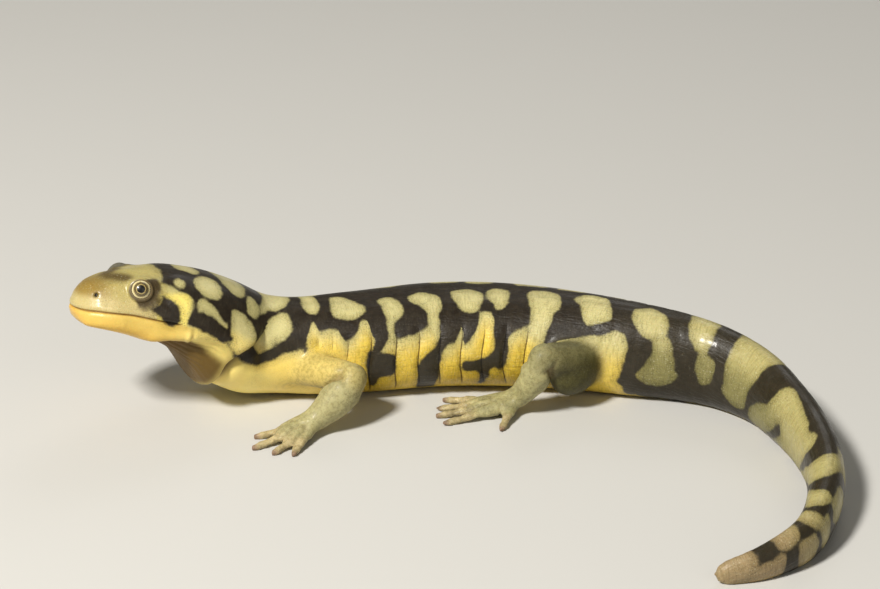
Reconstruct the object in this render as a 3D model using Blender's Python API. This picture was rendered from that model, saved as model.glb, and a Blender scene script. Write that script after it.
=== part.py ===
"""Adult barred tiger salamander, a still life-size model resting on its belly, four feet and tail.

Lengths below are in millimetres and turned into metres when a mesh is made. The animal faces -X, its
left side is on -Y, and everything that touches the floor is flat at one level. The body is one long
shape, swept along a curved axis and parted by thin cuts into head, neck, trunk and tail.
"""

import math

import bmesh
import bpy
from mathutils import Matrix, Vector

MM = 0.001
GAP = 0.3  # clearance between neighbouring pieces
FLOOR_SINK = 0.45  # how far a resting form reaches below the floor before it is cut flat

# Pose of the head: the front of the mouth, then its turn to the left, its lift and its tilt.
MOUTH_FRONT = Vector((-75.7, -20.0, 27.5))
HEAD_YAW = math.radians(24.0)
HEAD_PITCH = math.radians(15.5)
HEAD_ROLL = math.radians(9.5)

# Named distances behind the snout tip, along the body's axis, where the pieces part.
NECK_START = 36.0
TRUNK_START = 46.0
TAIL_START = 124.0
TAIL_MIDDLE_START = 158.0
TAIL_TIP_START = 198.0

# Half the body's width, and its height above the axis, by distance behind the snout tip.
HALF_WIDTH = (
    (0, 6.9), (4, 7.9), (8, 8.8), (12, 9.6), (17, 11.0), (22, 12.2), (27, 12.6), (33, 11.8),
    (39, 10.4), (46, 9.9), (54, 10.3), (64, 11.4), (78, 12.5), (92, 12.6), (104, 11.6),
    (115, 10.1), (124, 8.9), (133, 7.4), (144, 5.9), (162, 4.8), (182, 4.1), (202, 3.4),
    (218, 2.7), (229, 1.9), (234, 1.4),
)
HEIGHT = (
    (0, 4.6), (3.7, 5.9), (7, 7.0), (13, 8.8), (19, 10.1), (25.5, 10.8), (32, 10.9), (38, 10.6),
    (46, 10.3), (54, 10.1), (67, 10.2), (82, 10.4), (97, 10.3), (112, 10.1), (124, 9.9),
    (133, 9.6), (144, 9.0), (158, 8.0), (177, 6.9), (197, 5.9), (214, 4.6), (226, 3.2), (234, 1.8),
)
# Depth below the axis as far as the chest. From there on the body rests on the floor.
DEPTH = (
    (0, 2.0), (3, 3.1), (6.5, 4.0), (11, 4.5), (15, 4.9), (19, 5.6), (22, 6.7), (25.5, 8.6),
    (30, 10.3), (35, 11.1), (40, 11.0), (46, 10.7), (54, 10.6),
)
RESTS_FROM, RESTS_FULLY = 48.0, 62.0
SNOUT_ROUND_WIDTH = 8.5
SNOUT_ROUND_HEIGHT = 3.0
TAIL_ROUND = 3.0

BODY_SIDES = 30
TAIL_SIDES = 22
LIMB_SIDES = 12
DIGIT_SIDES = 8

EYE_RADIUS = 2.45
EYE_PLACE = (11.9, 6.8, 5.5)  # behind the mouth's front, out to the side, above the mouth
EYE_TURN = (math.radians(21.0), math.radians(17.0))  # each eye looks this far forward and up
EYE_MOUND = (3.7, 3.0, 3.0)  # half length, half height and half depth of the rise round an eye
EYE_MOUND_BACK = 0.6  # the rise lies this far behind the eye's middle
EYE_OPENING = 2.05  # half the width between the lids
MOUTH_CORNER = 20.5
NOSTRIL_PLACE = (3.2, 4.8, 3.4)
NOSTRIL_RADIUS = 0.5


# ---------------------------------------------------------------- curves


def hermite(knots, at):
    """Smooth value at a distance, through (distance, value) pairs; a value is a number or a vector."""
    at = min(max(at, knots[0][0]), knots[-1][0])
    last = len(knots) - 2
    k = next((i for i in range(last) if at < knots[i + 1][0]), last)

    def slope(i):
        low, high = max(i - 1, 0), min(i + 1, len(knots) - 1)
        return (knots[high][1] - knots[low][1]) / (knots[high][0] - knots[low][0])

    (start, a), (end, b) = knots[k], knots[k + 1]
    span = end - start
    t = (at - start) / span
    return (
        a * (1 + 2 * t) * (1 - t) ** 2
        + slope(k) * span * t * (1 - t) ** 2
        + b * t * t * (3 - 2 * t)
        - slope(k + 1) * span * t * t * (1 - t)
    )


def by_length(points):
    """(distance, point) pairs, the distance measured along the points."""
    knots = [(0.0, points[0])]
    for before, after in zip(points, points[1:]):
        knots.append((knots[-1][0] + (after - before).length, after))
    return knots


def ease(low, high, at):
    t = min(max((at - low) / (high - low), 0.0), 1.0)
    return t * t * (3 - 2 * t)


def dome(at, reach):
    """Rises from 0 to 1 over the given reach, as a quarter of an ellipse does."""
    t = min(max(at / reach, 0.0), 1.0)
    return math.sqrt(1 - (1 - t) ** 2)


def axes_along(tangent, roll=0.0):
    """Unit vectors to the body's left and top, for an axis that runs backwards along tangent."""
    left = tangent.cross(Vector((0, 0, 1))).normalized()
    top = left.cross(tangent).normalized()
    return (
        left * math.cos(roll) + top * math.sin(roll),
        top * math.cos(roll) - left * math.sin(roll),
    )


HEAD_BACK = Vector(
    (
        math.cos(HEAD_YAW) * math.cos(HEAD_PITCH),
        math.sin(HEAD_YAW) * math.cos(HEAD_PITCH),
        -math.sin(HEAD_PITCH),
    )
)
HEAD_LEFT, HEAD_TOP = axes_along(HEAD_BACK, HEAD_ROLL)


def head_point(back, left, top):
    return MOUTH_FRONT + HEAD_BACK * back + HEAD_LEFT * left + HEAD_TOP * top


AXIS = by_length(
    [
        head_point(0, 0, 0),
        head_point(12, 0, 0),
        head_point(25, 0, -1.2),
        head_point(33.5, 0, -3.0),
        head_point(41, 0, -4.9),  # neck
        Vector((-31, -4.3, 10.7)),  # shoulders
        Vector((-18, -1.6, 10.2)),
        Vector((0, 2.1, 10.1)),
        Vector((16, 1.9, 10.0)),
        Vector((31, -1.4, 10.0)),  # hips
        Vector((43, -5.2, 10.0)),  # root of the tail
        Vector((52, -8.2, 9.7)),
        Vector((60, -12.4, 9.1)),
        Vector((67, -19.5, 8.3)),
        Vector((71.4, -29.0, 7.5)),
        Vector((74.6, -40, 6.9)),
        Vector((75.8, -52, 6.3)),
        Vector((74, -64, 5.6)),
        Vector((69, -75, 4.6)),
        Vector((60.5, -81.5, 3.4)),
        Vector((51, -84, 2.0)),  # tip of the tail
    ]
)
TAIL_END = AXIS[-1][0]


def body_section(at, sides, grow=0.0):
    """One ring of the body, square to its axis, grown outwards by a clearance where one is given."""
    step = 0.05
    centre = hermite(AXIS, at)
    tangent = (hermite(AXIS, at + step) - hermite(AXIS, at - step)).normalized()
    left, top = axes_along(tangent, HEAD_ROLL * (1 - ease(28, 50, at)))
    rest = ease(RESTS_FROM, RESTS_FULLY, at)
    depth = (1 - rest) * hermite(DEPTH, at) + rest * (centre.z + FLOOR_SINK)
    tail_end = dome(TAIL_END - at, TAIL_ROUND)
    width = hermite(HALF_WIDTH, at) * dome(at, SNOUT_ROUND_WIDTH) * tail_end + grow
    height = hermite(HEIGHT, at) * dome(at, SNOUT_ROUND_HEIGHT) * tail_end + grow
    depth = depth * dome(at, SNOUT_ROUND_HEIGHT) * tail_end + grow
    square = 2.0 + 0.35 * (1 - ease(26, 52, at)) + 0.25 * rest * (1 - ease(112, 142, at))
    ring = []
    for i in range(sides):
        angle = 2 * math.pi * i / sides
        across, rise = (
            math.copysign(abs(part) ** (2 / square), part)
            for part in (math.cos(angle), math.sin(angle))
        )
        ring.append(centre + left * across * width + top * rise * (height if rise > 0 else depth))
    return ring


# ---------------------------------------------------------------- meshes


def material(name, colour, roughness=0.45):
    made = bpy.data.materials.new(name)
    made.use_nodes = True
    shader = made.node_tree.nodes["Principled BSDF"]
    shader.inputs["Base Color"].default_value = (*colour, 1)
    shader.inputs["Roughness"].default_value = roughness
    shader.inputs["Metallic"].default_value = 0.0
    return made


def new_collection(name, hidden=False):
    made = bpy.data.collections.new(name)
    made.hide_render = hidden
    bpy.context.scene.collection.children.link(made)
    return made


def new_object(name, mesh_maker, where, finish=None):
    """An object in the collection named, from a bmesh in millimetres that mesh_maker fills."""
    filled = bmesh.new()
    mesh_maker(filled)
    bmesh.ops.recalc_face_normals(filled, faces=filled.faces)
    bmesh.ops.scale(filled, vec=(MM, MM, MM), verts=filled.verts)
    mesh = bpy.data.meshes.new(name)
    filled.to_mesh(mesh)
    filled.free()
    mesh.shade_smooth()
    made = bpy.data.objects.new(name, mesh)
    where.objects.link(made)
    if finish:
        mesh.materials.append(finish)
    else:
        made.hide_render = True
        made.display_type = "WIRE"
    return made


def loft(filled, rings):
    """A skin over rings of equal size; a ring of one point is a pole."""
    rows = [[filled.verts.new(point) for point in ring] for ring in rings]
    for a, b in zip(rows, rows[1:]):
        count = max(len(a), len(b))
        for i in range(count):
            j = (i + 1) % count
            if len(a) == 1:
                filled.faces.new((a[0], b[i], b[j]))
            elif len(b) == 1:
                filled.faces.new((a[j], a[i], b[0]))
            else:
                filled.faces.new((a[i], b[i], b[j], a[j]))
    for row in (rows[0], rows[-1]):
        if len(row) > 2:
            filled.faces.new(row)


def boolean(target, other, operation):
    modifier = target.modifiers.new(f"{operation.lower()}_{other.name}", "BOOLEAN")
    modifier.object = other
    modifier.operation = operation
    modifier.solver = "EXACT"


def tube_rings(points, radii, sides, flat=1.0, rings=6, round_start=True):
    """Rings along a smooth path through points, rounded at the end and, unless it starts flat, there too."""
    path = by_length([Vector(point) for point in points])
    swell = [(at, radius) for (at, _), radius in zip(path, radii)]
    length = path[-1][0]
    made = []

    def ring(at, shrink=1.0, ahead=0.0):
        tangent = (hermite(path, min(at + 0.1, length)) - hermite(path, max(at - 0.1, 0))).normalized()
        side, top = axes_along(tangent)
        radius = hermite(swell, at)
        centre = hermite(path, at) + tangent * ahead * radius
        return [
            centre
            + (side * math.cos(turn) + top * flat * math.sin(turn)) * radius * shrink
            for turn in (2 * math.pi * k / sides for k in range(sides))
        ]

    for i in range(rings):
        made.append(ring(length * i / (rings - 1)))
    made += [ring(length, math.cos(turn), math.sin(turn)) for turn in (0.6, 1.1)]
    if round_start:
        made = [ring(0, math.cos(turn), -math.sin(turn)) for turn in (1.1, 0.6)] + made
    return made


def keep_side(filled, point, normal):
    """Cuts a closed shape at a plane and closes it again, leaving what lies behind the plane."""
    geometry = filled.verts[:] + filled.edges[:] + filled.faces[:]
    cut = bmesh.ops.bisect_plane(
        filled, geom=geometry, dist=1e-5, plane_co=point, plane_no=normal, clear_outer=True
    )
    rim = [part for part in cut["geom_cut"] if isinstance(part, bmesh.types.BMEdge)]
    bmesh.ops.contextual_create(filled, geom=rim)


# ---------------------------------------------------------------- body


def body_piece(name, start, end, step, sides, finish, grow=0.0):
    """A length of the body between two cuts, each square to the axis."""
    places = []
    if start == 0:
        places += [SNOUT_ROUND_WIDTH * (1 - math.cos(turn * math.pi / 14)) for turn in (1, 2, 3, 4, 5)]
    low = places[-1] + step * 0.7 if places else start
    high = end - TAIL_ROUND if end == TAIL_END else end
    count = max(2, round((high - low) / step))
    places += [low + (high - low) * i / count for i in range(count + 1)]
    if end == TAIL_END:
        places += [end - TAIL_ROUND * (1 - math.sin(turn * math.pi / 6)) for turn in (1, 2)]
    rings = [body_section(at, sides, grow) for at in places]
    if start == 0:
        rings.insert(0, [hermite(AXIS, 0) + HEAD_TOP * 1.3])
    if end == TAIL_END:
        rings.append([hermite(AXIS, end)])
    return new_object(name, lambda filled: loft(filled, rings), PARTS if finish else CUTTERS, finish)


def ellipsoid(name, centre, half_sizes, turn, finish=None, rings=10):
    def fill(filled):
        bmesh.ops.create_uvsphere(filled, u_segments=2 * rings, v_segments=rings, radius=1)
        place = Matrix.Translation(centre) @ turn.to_4x4() @ Matrix.Diagonal((*half_sizes, 1))
        bmesh.ops.transform(filled, matrix=place, verts=filled.verts)

    return new_object(name, fill, PARTS if finish else CUTTERS, finish)


def eye_turn(sign):
    """An eye's own axes as a rotation: its length, its height and the way it looks."""
    forward, up = EYE_TURN
    level = HEAD_LEFT * sign * math.cos(forward) - HEAD_BACK * math.sin(forward)
    look = level * math.cos(up) + HEAD_TOP * math.sin(up)
    along = look.cross(HEAD_TOP).normalized()
    return Matrix((along, look.cross(along), look)).transposed()


def jaw_block(name, grow):
    """Everything under the line of the mouth, as far back as its corner, grown by a clearance."""

    def fill(filled):
        line = [(-6, 0.2), (2, 0.4), (8, 0.75), (14, 0.45), (MOUTH_CORNER, -0.1)]
        outline = [(back, top - GAP / 2 + grow) for back, top in line]
        outline[-1] = (outline[-1][0] + grow, outline[-1][1])
        outline += [(MOUTH_CORNER - 4 + grow, -16), (-6, -16)]
        rows = [
            [head_point(back, side, top) for back, top in outline]
            for side in (-20, 20)
        ]
        loft(filled, rows)

    return new_object(name, fill, CUTTERS)


def lid_opening(name, centre, turn):
    """A short cone along the line an eye looks, a little wider outwards."""

    def fill(filled):
        bmesh.ops.create_cone(
            filled,
            cap_ends=True,
            segments=20,
            radius1=EYE_OPENING,
            radius2=EYE_OPENING * 1.12,
            depth=EYE_RADIUS,
        )
        outwards = Matrix.Translation((0, 0, EYE_RADIUS))
        place = Matrix.Translation(centre) @ turn.to_4x4() @ outwards
        bmesh.ops.transform(filled, matrix=place, verts=filled.verts)

    return new_object(name, fill, CUTTERS)


def make_head(skin, jaw_skin, iris):
    head = body_piece("head", 0, NECK_START - GAP / 2, 2.9, BODY_SIDES, skin)
    jaw = body_piece("lower_jaw", 0, NECK_START - GAP / 2, 2.9, BODY_SIDES, jaw_skin)
    boolean(head, jaw_block("mouth_cut", GAP), "DIFFERENCE")
    boolean(jaw, jaw_block("jaw_limit", 0.0), "INTERSECT")
    for side, sign in (("left", 1), ("right", -1)):
        back, out, rise = EYE_PLACE
        turn = eye_turn(sign)
        centre = head_point(back, sign * out, rise)
        behind = centre + HEAD_BACK * EYE_MOUND_BACK
        boolean(head, ellipsoid(f"{side}_eye_mound", behind, EYE_MOUND, turn), "UNION")
        socket = [EYE_RADIUS + GAP] * 3
        boolean(head, ellipsoid(f"{side}_eye_socket", centre, socket, turn, rings=8), "DIFFERENCE")
        boolean(head, lid_opening(f"{side}_lid_opening", centre, turn), "DIFFERENCE")
        ellipsoid(f"{side}_eye", centre, [EYE_RADIUS] * 3, turn, iris, rings=9)
        back, out, rise = NOSTRIL_PLACE
        pit = [NOSTRIL_RADIUS] * 3
        nostril = ellipsoid(f"{side}_nostril", head_point(back, sign * out, rise), pit, turn, rings=4)
        boolean(head, nostril, "DIFFERENCE")


def make_body(skin):
    half = GAP / 2
    body_piece("neck", NECK_START + half, TRUNK_START - half, 2.4, BODY_SIDES, skin)
    trunk = body_piece("trunk", TRUNK_START + half, TAIL_START - half, 4.4, BODY_SIDES, skin)
    lengths = (
        ("tail_base", TAIL_START, TAIL_MIDDLE_START),
        ("tail_middle", TAIL_MIDDLE_START, TAIL_TIP_START),
    )
    resting = [trunk]
    for name, start, end in lengths:
        resting.append(body_piece(name, start + half, end - half, 4.6, TAIL_SIDES, skin))
    resting.append(body_piece("tail_tip", TAIL_TIP_START + half, TAIL_END, 4.4, TAIL_SIDES, skin))
    return resting


# ---------------------------------------------------------------- limbs

# Each limb: the paths of its upper length, lower length and palm, their radii, and its digits as
# (root, tip). Each path starts where the one before it ends.
LEFT_ARM = {
    "upper": ((-31.5, -8, 7.6), (-25.4, -15.2, 9.8), (-18.0, -20.8, 11.0)),
    "lower": ((-18.0, -20.8, 11.0), (-20.9, -22.6, 7.4), (-25.4, -24.2, 3.6)),
    "palm": ((-25.4, -24.2, 3.6), (-28.2, -25.8, 2.4), (-31.0, -27.3, 1.8)),
    "digits": (
        ((-29.5, -25.0, 1.7), (-38.0, -27.2, 0.8)),
        ((-30.0, -27.4, 1.7), (-38.2, -32.0, 0.8)),
        ((-28.6, -28.6, 1.7), (-34.0, -34.2, 0.8)),
        ((-27.2, -28.2, 1.7), (-30.0, -34.6, 0.8)),
    ),
}
RIGHT_ARM = {
    "upper": ((-30.5, -1, 9.4), (-27.0, 7.0, 10.2), (-21.4, 13.0, 9.4)),
    "lower": ((-21.4, 13.0, 9.4), (-23.6, 16.2, 6.6), (-27.6, 19.0, 3.7)),
    "palm": ((-27.6, 19.0, 3.7), (-30.9, 20.3, 2.4), (-34.2, 21.6, 1.8)),
    "digits": (
        ((-33.2, 19.8, 1.7), (-41.4, 19.6, 0.8)),
        ((-33.6, 21.8, 1.7), (-42.0, 24.8, 0.8)),
        ((-32.6, 23.2, 1.7), (-38.4, 29.0, 0.8)),
        ((-30.8, 23.2, 1.7), (-33.0, 29.4, 0.8)),
    ),
}
LEFT_LEG = {
    "upper": ((33.5, -4, 7.8), (28.6, -11.8, 10.4), (21.6, -17.0, 13.7)),
    "lower": ((21.6, -17.0, 13.7), (19.6, -17.0, 8.8), (16.6, -15.2, 3.9)),
    "palm": ((16.6, -15.2, 3.9), (13.4, -15.6, 2.5), (9.6, -16.0, 1.9)),
    "digits": (
        ((10.5, -13.8, 1.7), (0.9, -10.6, 0.8)),
        ((9.8, -15.2, 1.7), (-0.1, -14.6, 0.8)),
        ((9.8, -16.8, 1.7), (-0.4, -17.8, 0.8)),
        ((10.6, -18.4, 1.7), (1.2, -21.2, 0.8)),
        ((14.8, -18.2, 1.7), (12.8, -23.8, 0.8)),
    ),
}
RIGHT_LEG = {
    "upper": ((33.5, 0, 7.8), (31.6, 7.6, 9.4), (28.6, 14.4, 9.8)),
    "lower": ((28.6, 14.4, 9.8), (31.4, 17.4, 7.0), (36.0, 19.8, 3.9)),
    "palm": ((36.0, 19.8, 3.9), (35.9, 22.8, 2.5), (35.2, 26.6, 1.9)),
    "digits": (
        ((33.0, 25.6, 1.7), (25.6, 28.2, 0.8)),
        ((33.4, 26.8, 1.7), (26.8, 33.0, 0.8)),
        ((34.8, 27.4, 1.7), (31.4, 36.4, 0.8)),
        ((36.4, 27.0, 1.7), (37.4, 36.2, 0.8)),
        ((37.4, 25.6, 1.7), (42.6, 31.4, 0.8)),
    ),
}
ARM_RADII = {"upper": (4.3, 3.6, 3.2), "lower": (3.2, 3.6, 2.9), "palm": (2.9, 3.5, 3.3)}
LEG_RADII = {"upper": (5.4, 4.7, 3.2), "lower": (3.2, 3.0, 2.7), "palm": (2.9, 3.7, 3.5)}
DIGIT_RADII = (1.45, 1.25, 1.15, 0.95)
PALM_FLATNESS = 0.6


def digit_rings(root, tip):
    """A tapering digit that arches a little between its root and its rounded tip."""
    root, tip = Vector(root), Vector(tip)
    along = tip - root
    points = [root, root + along * 0.36 + Vector((0, 0, 0.35)), root + along * 0.7, tip]
    return tube_rings(points, DIGIT_RADII, DIGIT_SIDES, rings=4, round_start=False)


def joint_plane(before, after):
    """The point and the direction of the cut that shares a bend fairly between two lengths."""
    before, after = [Vector(point) for point in before], [Vector(point) for point in after]
    arriving = (before[-1] - before[-2]).normalized()
    leaving = (after[1] - after[0]).normalized()
    return after[0], (arriving + leaving).normalized()


def make_limb(side, spec, radii, names, skin):
    """Upper length, lower length, and hand or foot of one limb."""
    bend = joint_plane(spec["upper"], spec["lower"])
    wrist = joint_plane(spec["lower"], spec["palm"])
    pieces = []
    for name, key, start, end, flat in (
        (names[0], "upper", None, bend, 1.0),
        (names[1], "lower", bend, wrist, 1.0),
        (names[2], "palm", wrist, None, PALM_FLATNESS),
    ):

        def fill(filled):
            loft(filled, tube_rings(spec[key], radii[key], LIMB_SIDES, flat))
            bmesh.ops.recalc_face_normals(filled, faces=filled.faces)
            if start:
                keep_side(filled, start[0] + start[1] * GAP / 2, -start[1])
            if end:
                keep_side(filled, end[0] - end[1] * GAP / 2, end[1])

        pieces.append(new_object(f"{side}_{name}", fill, PARTS, skin))
    upper, _, palm = pieces
    for number, (root, tip) in enumerate(spec["digits"], 1):
        digit = new_object(
            f"{palm.name}_digit_{number}",
            lambda filled: loft(filled, digit_rings(root, tip)),
            CUTTERS,
        )
        boolean(palm, digit, "UNION")
    return upper, palm


def make_limbs(skin):
    clearance = body_piece("trunk_clearance", TRUNK_START, TAIL_START, 4.4, BODY_SIDES, None, GAP)
    resting = []
    arm, leg = ("upper_arm", "forearm", "hand"), ("thigh", "shank", "foot")
    for side, spec, radii, names in (
        ("left", LEFT_ARM, ARM_RADII, arm),
        ("right", RIGHT_ARM, ARM_RADII, arm),
        ("left", LEFT_LEG, LEG_RADII, leg),
        ("right", RIGHT_LEG, LEG_RADII, leg),
    ):
        upper, palm = make_limb(side, spec, radii, names, skin)
        boolean(upper, clearance, "DIFFERENCE")
        resting.append(palm)
    return resting


# ---------------------------------------------------------------- whole animal


def cut_flat(resting):
    """Everything that rests is cut off level with the floor."""

    def fill(filled):
        bmesh.ops.create_cube(filled, size=1)
        bmesh.ops.scale(filled, vec=(400, 400, 20), verts=filled.verts)
        bmesh.ops.translate(filled, vec=(0, 0, -10), verts=filled.verts)

    floor = new_object("floor_level", fill, CUTTERS)
    for piece in resting:
        boolean(piece, floor, "DIFFERENCE")


def centre_on_origin():
    """Moves everything so that the origin is under the middle of the model, on the floor."""
    bpy.context.view_layer.update()
    graph = bpy.context.evaluated_depsgraph_get()
    corners = [
        piece.matrix_world @ Vector(corner)
        for piece in PARTS.objects
        for corner in piece.evaluated_get(graph).bound_box
    ]
    low = Vector(min(corner[i] for corner in corners) for i in range(3))
    high = Vector(max(corner[i] for corner in corners) for i in range(3))
    shift = Vector(((low.x + high.x) / 2, (low.y + high.y) / 2, low.z))
    for piece in [*PARTS.objects, *CUTTERS.objects]:
        piece.location = -shift


for leftover in list(bpy.data.objects):
    bpy.data.objects.remove(leftover, do_unlink=True)
PARTS = new_collection("tiger_salamander")
CUTTERS = new_collection("cutters", hidden=True)

dark_skin = material("barred_skin", (0.16, 0.13, 0.07), 0.4)
jaw_skin = material("pale_jaw_skin", (0.68, 0.5, 0.16), 0.4)
limb_skin = material("olive_limb_skin", (0.42, 0.37, 0.18), 0.45)
iris = material("gold_flecked_eye", (0.2, 0.15, 0.05), 0.1)

make_head(dark_skin, jaw_skin, iris)
cut_flat(make_body(dark_skin) + make_limbs(limb_skin))
centre_on_origin()
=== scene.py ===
# Looks of an adult barred tiger salamander. Lengths are in millimetres until a mesh is finished.
import math
import bmesh
import bpy
import numpy as np
from mathutils import Matrix, Vector, noise


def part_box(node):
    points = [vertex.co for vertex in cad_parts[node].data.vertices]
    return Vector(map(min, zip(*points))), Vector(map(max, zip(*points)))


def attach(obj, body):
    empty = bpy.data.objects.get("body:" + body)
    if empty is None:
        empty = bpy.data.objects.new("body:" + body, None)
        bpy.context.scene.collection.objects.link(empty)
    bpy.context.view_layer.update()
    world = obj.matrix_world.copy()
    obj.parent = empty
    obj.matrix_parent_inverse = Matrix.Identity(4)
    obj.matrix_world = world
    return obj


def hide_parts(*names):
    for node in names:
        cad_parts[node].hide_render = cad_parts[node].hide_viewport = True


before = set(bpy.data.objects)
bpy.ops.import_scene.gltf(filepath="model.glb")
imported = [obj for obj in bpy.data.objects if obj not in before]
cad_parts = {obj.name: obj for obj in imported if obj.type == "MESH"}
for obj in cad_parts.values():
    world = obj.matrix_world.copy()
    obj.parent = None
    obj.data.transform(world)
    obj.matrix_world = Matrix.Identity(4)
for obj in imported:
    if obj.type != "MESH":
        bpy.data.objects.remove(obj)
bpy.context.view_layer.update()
mm = 0.001
bothSides = (1, -1)  # left, right
outOfReach = 99.0  # stands for a gap that is too wide to matter

# the body's own lines, the same as the solids'; a pair is (distance from the mouth's front, size)
body = {
    "mouthFront": (-75.7, -20.0, 27.5),
    "yaw": 24.0, "pitch": 15.5, "roll": 9.5,
    "neck": ((12, 0, 0), (25, 0, -1.2), (33.5, 0, -3.0), (41, 0, -4.9)),  # in the head's directions
    "spine": (
        (-31, -4.3, 10.7), (-18, -1.6, 10.2), (0, 2.1, 10.1), (16, 1.9, 10.0), (31, -1.4, 10.0),
        (43, -5.2, 10.0), (52, -8.2, 9.7), (60, -12.4, 9.1), (67, -19.5, 8.3), (71.4, -29.0, 7.5),
        (74.6, -40, 6.9), (75.8, -52, 6.3), (74, -64, 5.6), (69, -75, 4.6), (60.5, -81.5, 3.4),
        (51, -84, 2.0),
    ),
    "halfWidth": (
        (0, 6.9), (4, 7.9), (8, 8.8), (12, 9.6), (17, 11.0), (22, 12.2), (27, 12.6), (33, 11.8),
        (39, 10.4), (46, 9.9), (54, 10.3), (64, 11.4), (78, 12.5), (92, 12.6), (104, 11.6),
        (115, 10.1), (124, 8.9), (133, 7.4), (144, 5.9), (162, 4.8), (182, 4.1), (202, 3.4),
        (218, 2.7), (229, 1.9), (234, 1.4),
    ),
    "height": (
        (0, 4.6), (3.7, 5.9), (7, 7.0), (13, 8.8), (19, 10.1), (25.5, 10.8), (32, 10.9),
        (38, 10.6), (46, 10.3), (54, 10.1), (67, 10.2), (82, 10.4), (97, 10.3), (112, 10.1),
        (124, 9.9), (133, 9.6), (144, 9.0), (158, 8.0), (177, 6.9), (197, 5.9), (214, 4.6),
        (226, 3.2), (234, 1.8),
    ),
    "depth": (
        (0, 2.0), (3, 3.1), (6.5, 4.0), (11, 4.5), (15, 4.9), (19, 5.6), (22, 6.7), (25.5, 8.6),
        (30, 10.3), (35, 11.1), (40, 11.0), (46, 10.7), (54, 10.6),
    ),
    "rests": (48.0, 62.0), "floorSink": 0.45,  # where the belly comes to rest on the floor
    "snoutRound": 8.5, "snoutRoundHeight": 3.0, "tailRound": 3.0,
    "rollFades": (28, 50),  # where the head's roll ends
    "square": 2.0,  # the cross section: 2 is an ellipse, and more is squarer
    "headSquare": 0.35, "headSquareFades": (26, 52), "restSquare": 0.25, "restSquareFades": (112, 142),
    "crowding": 0.85,  # rings lie closer together towards the snout and the tail tip
}


def smoothThrough(knots, at):
    # a smooth curve through knots of (place, value or point)
    places = np.array([knot[0] for knot in knots], float)
    values = np.array([knot[1] for knot in knots], float)
    at = np.clip(np.asarray(at, float), places[0], places[-1])
    k = np.clip(np.searchsorted(places, at, side="right") - 1, 0, len(places) - 2)
    low = np.maximum(np.arange(len(places)) - 1, 0)
    high = np.minimum(np.arange(len(places)) + 1, len(places) - 1)
    run = (places[high] - places[low]).reshape((-1,) + (1,) * (values.ndim - 1))
    slope = (values[high] - values[low]) / run
    span = places[k + 1] - places[k]
    t = (at - places[k]) / span
    if values.ndim > 1:
        t, span = t[..., None], span[..., None]
    return (
        values[k] * (1 + 2 * t) * (1 - t) ** 2 + slope[k] * span * t * (1 - t) ** 2
        + values[k + 1] * t * t * (3 - 2 * t) - slope[k + 1] * span * t * t * (1 - t)
    )


def ease(low, high, at):
    t = np.clip((np.asarray(at, float) - low) / (high - low), 0, 1)
    return t * t * (3 - 2 * t)


def fades(low, high, at):
    return 1 - ease(low, high, at)


def within(first, last, ends, over, at):
    return ease(first, last, at) * fades(ends, over, at)


def crowded(share, amount):
    # moves evenly spaced shares from 0 to 1 towards both ends
    return share - amount * np.sin(2 * math.pi * share) / (2 * math.pi)


def hump(at, middle, halfWidth):
    return np.exp(-(((at - middle) / halfWidth) ** 2))


def dome(at, reach):
    t = np.clip(np.asarray(at, float) / reach, 0, 1)
    return np.sqrt(1 - (1 - t) ** 2)


def unit(vectors):
    return vectors / np.maximum(np.linalg.norm(vectors, axis=-1, keepdims=True), 1e-9)


def axesAlong(tangent, roll):
    left = unit(np.cross(tangent, (0, 0, 1)))
    top = unit(np.cross(left, tangent))
    roll = np.reshape(roll, (-1, 1))
    return left * np.cos(roll) + top * np.sin(roll), top * np.cos(roll) - left * np.sin(roll)


def byLength(points):
    # knots of a path, as (distance along it, place)
    points = [np.array(point, float) for point in points]
    places = np.concatenate([[0], np.cumsum([np.linalg.norm(b - a) for a, b in zip(points, points[1:])])])
    return list(zip(places, points))


yaw, pitch, headRoll = (math.radians(body[key]) for key in ("yaw", "pitch", "roll"))
headBack = np.array([math.cos(yaw) * math.cos(pitch), math.sin(yaw) * math.cos(pitch), -math.sin(pitch)])
headLeft, headTop = (axis[0] for axis in axesAlong(headBack[None], headRoll))
mouthFront = np.array(body["mouthFront"])


def headPoint(back, left, top):
    return mouthFront + headBack * back + headLeft * left + headTop * top


def inHead(points):
    away = points - mouthFront
    return away @ headBack, away @ headLeft, away @ headTop


spine = byLength([headPoint(0, 0, 0)] + [headPoint(*place) for place in body["neck"]] + list(body["spine"]))
bodyLength = spine[-1][0]


def bodyFrames(at):
    at = np.atleast_1d(np.asarray(at, float))
    centre = smoothThrough(spine, at)
    tangent = unit(smoothThrough(spine, at + 0.05) - smoothThrough(spine, at - 0.05))
    left, top = axesAlong(tangent, headRoll * fades(*body["rollFades"], at))
    rest = ease(*body["rests"], at)
    tailEnd = dome(bodyLength - at, body["tailRound"])
    tall = dome(at, body["snoutRoundHeight"]) * tailEnd
    width = smoothThrough(body["halfWidth"], at) * dome(at, body["snoutRound"]) * tailEnd
    height = smoothThrough(body["height"], at) * tall
    depth = (1 - rest) * smoothThrough(body["depth"], at) + rest * (centre[:, 2] + body["floorSink"])
    square = body["square"] + body["headSquare"] * fades(*body["headSquareFades"], at)
    square += body["restSquare"] * rest * fades(*body["restSquareFades"], at)
    return {
        "centre": centre, "tangent": tangent, "left": left, "top": top,
        "width": width, "height": height, "depth": depth * tall, "square": square,
    }


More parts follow.
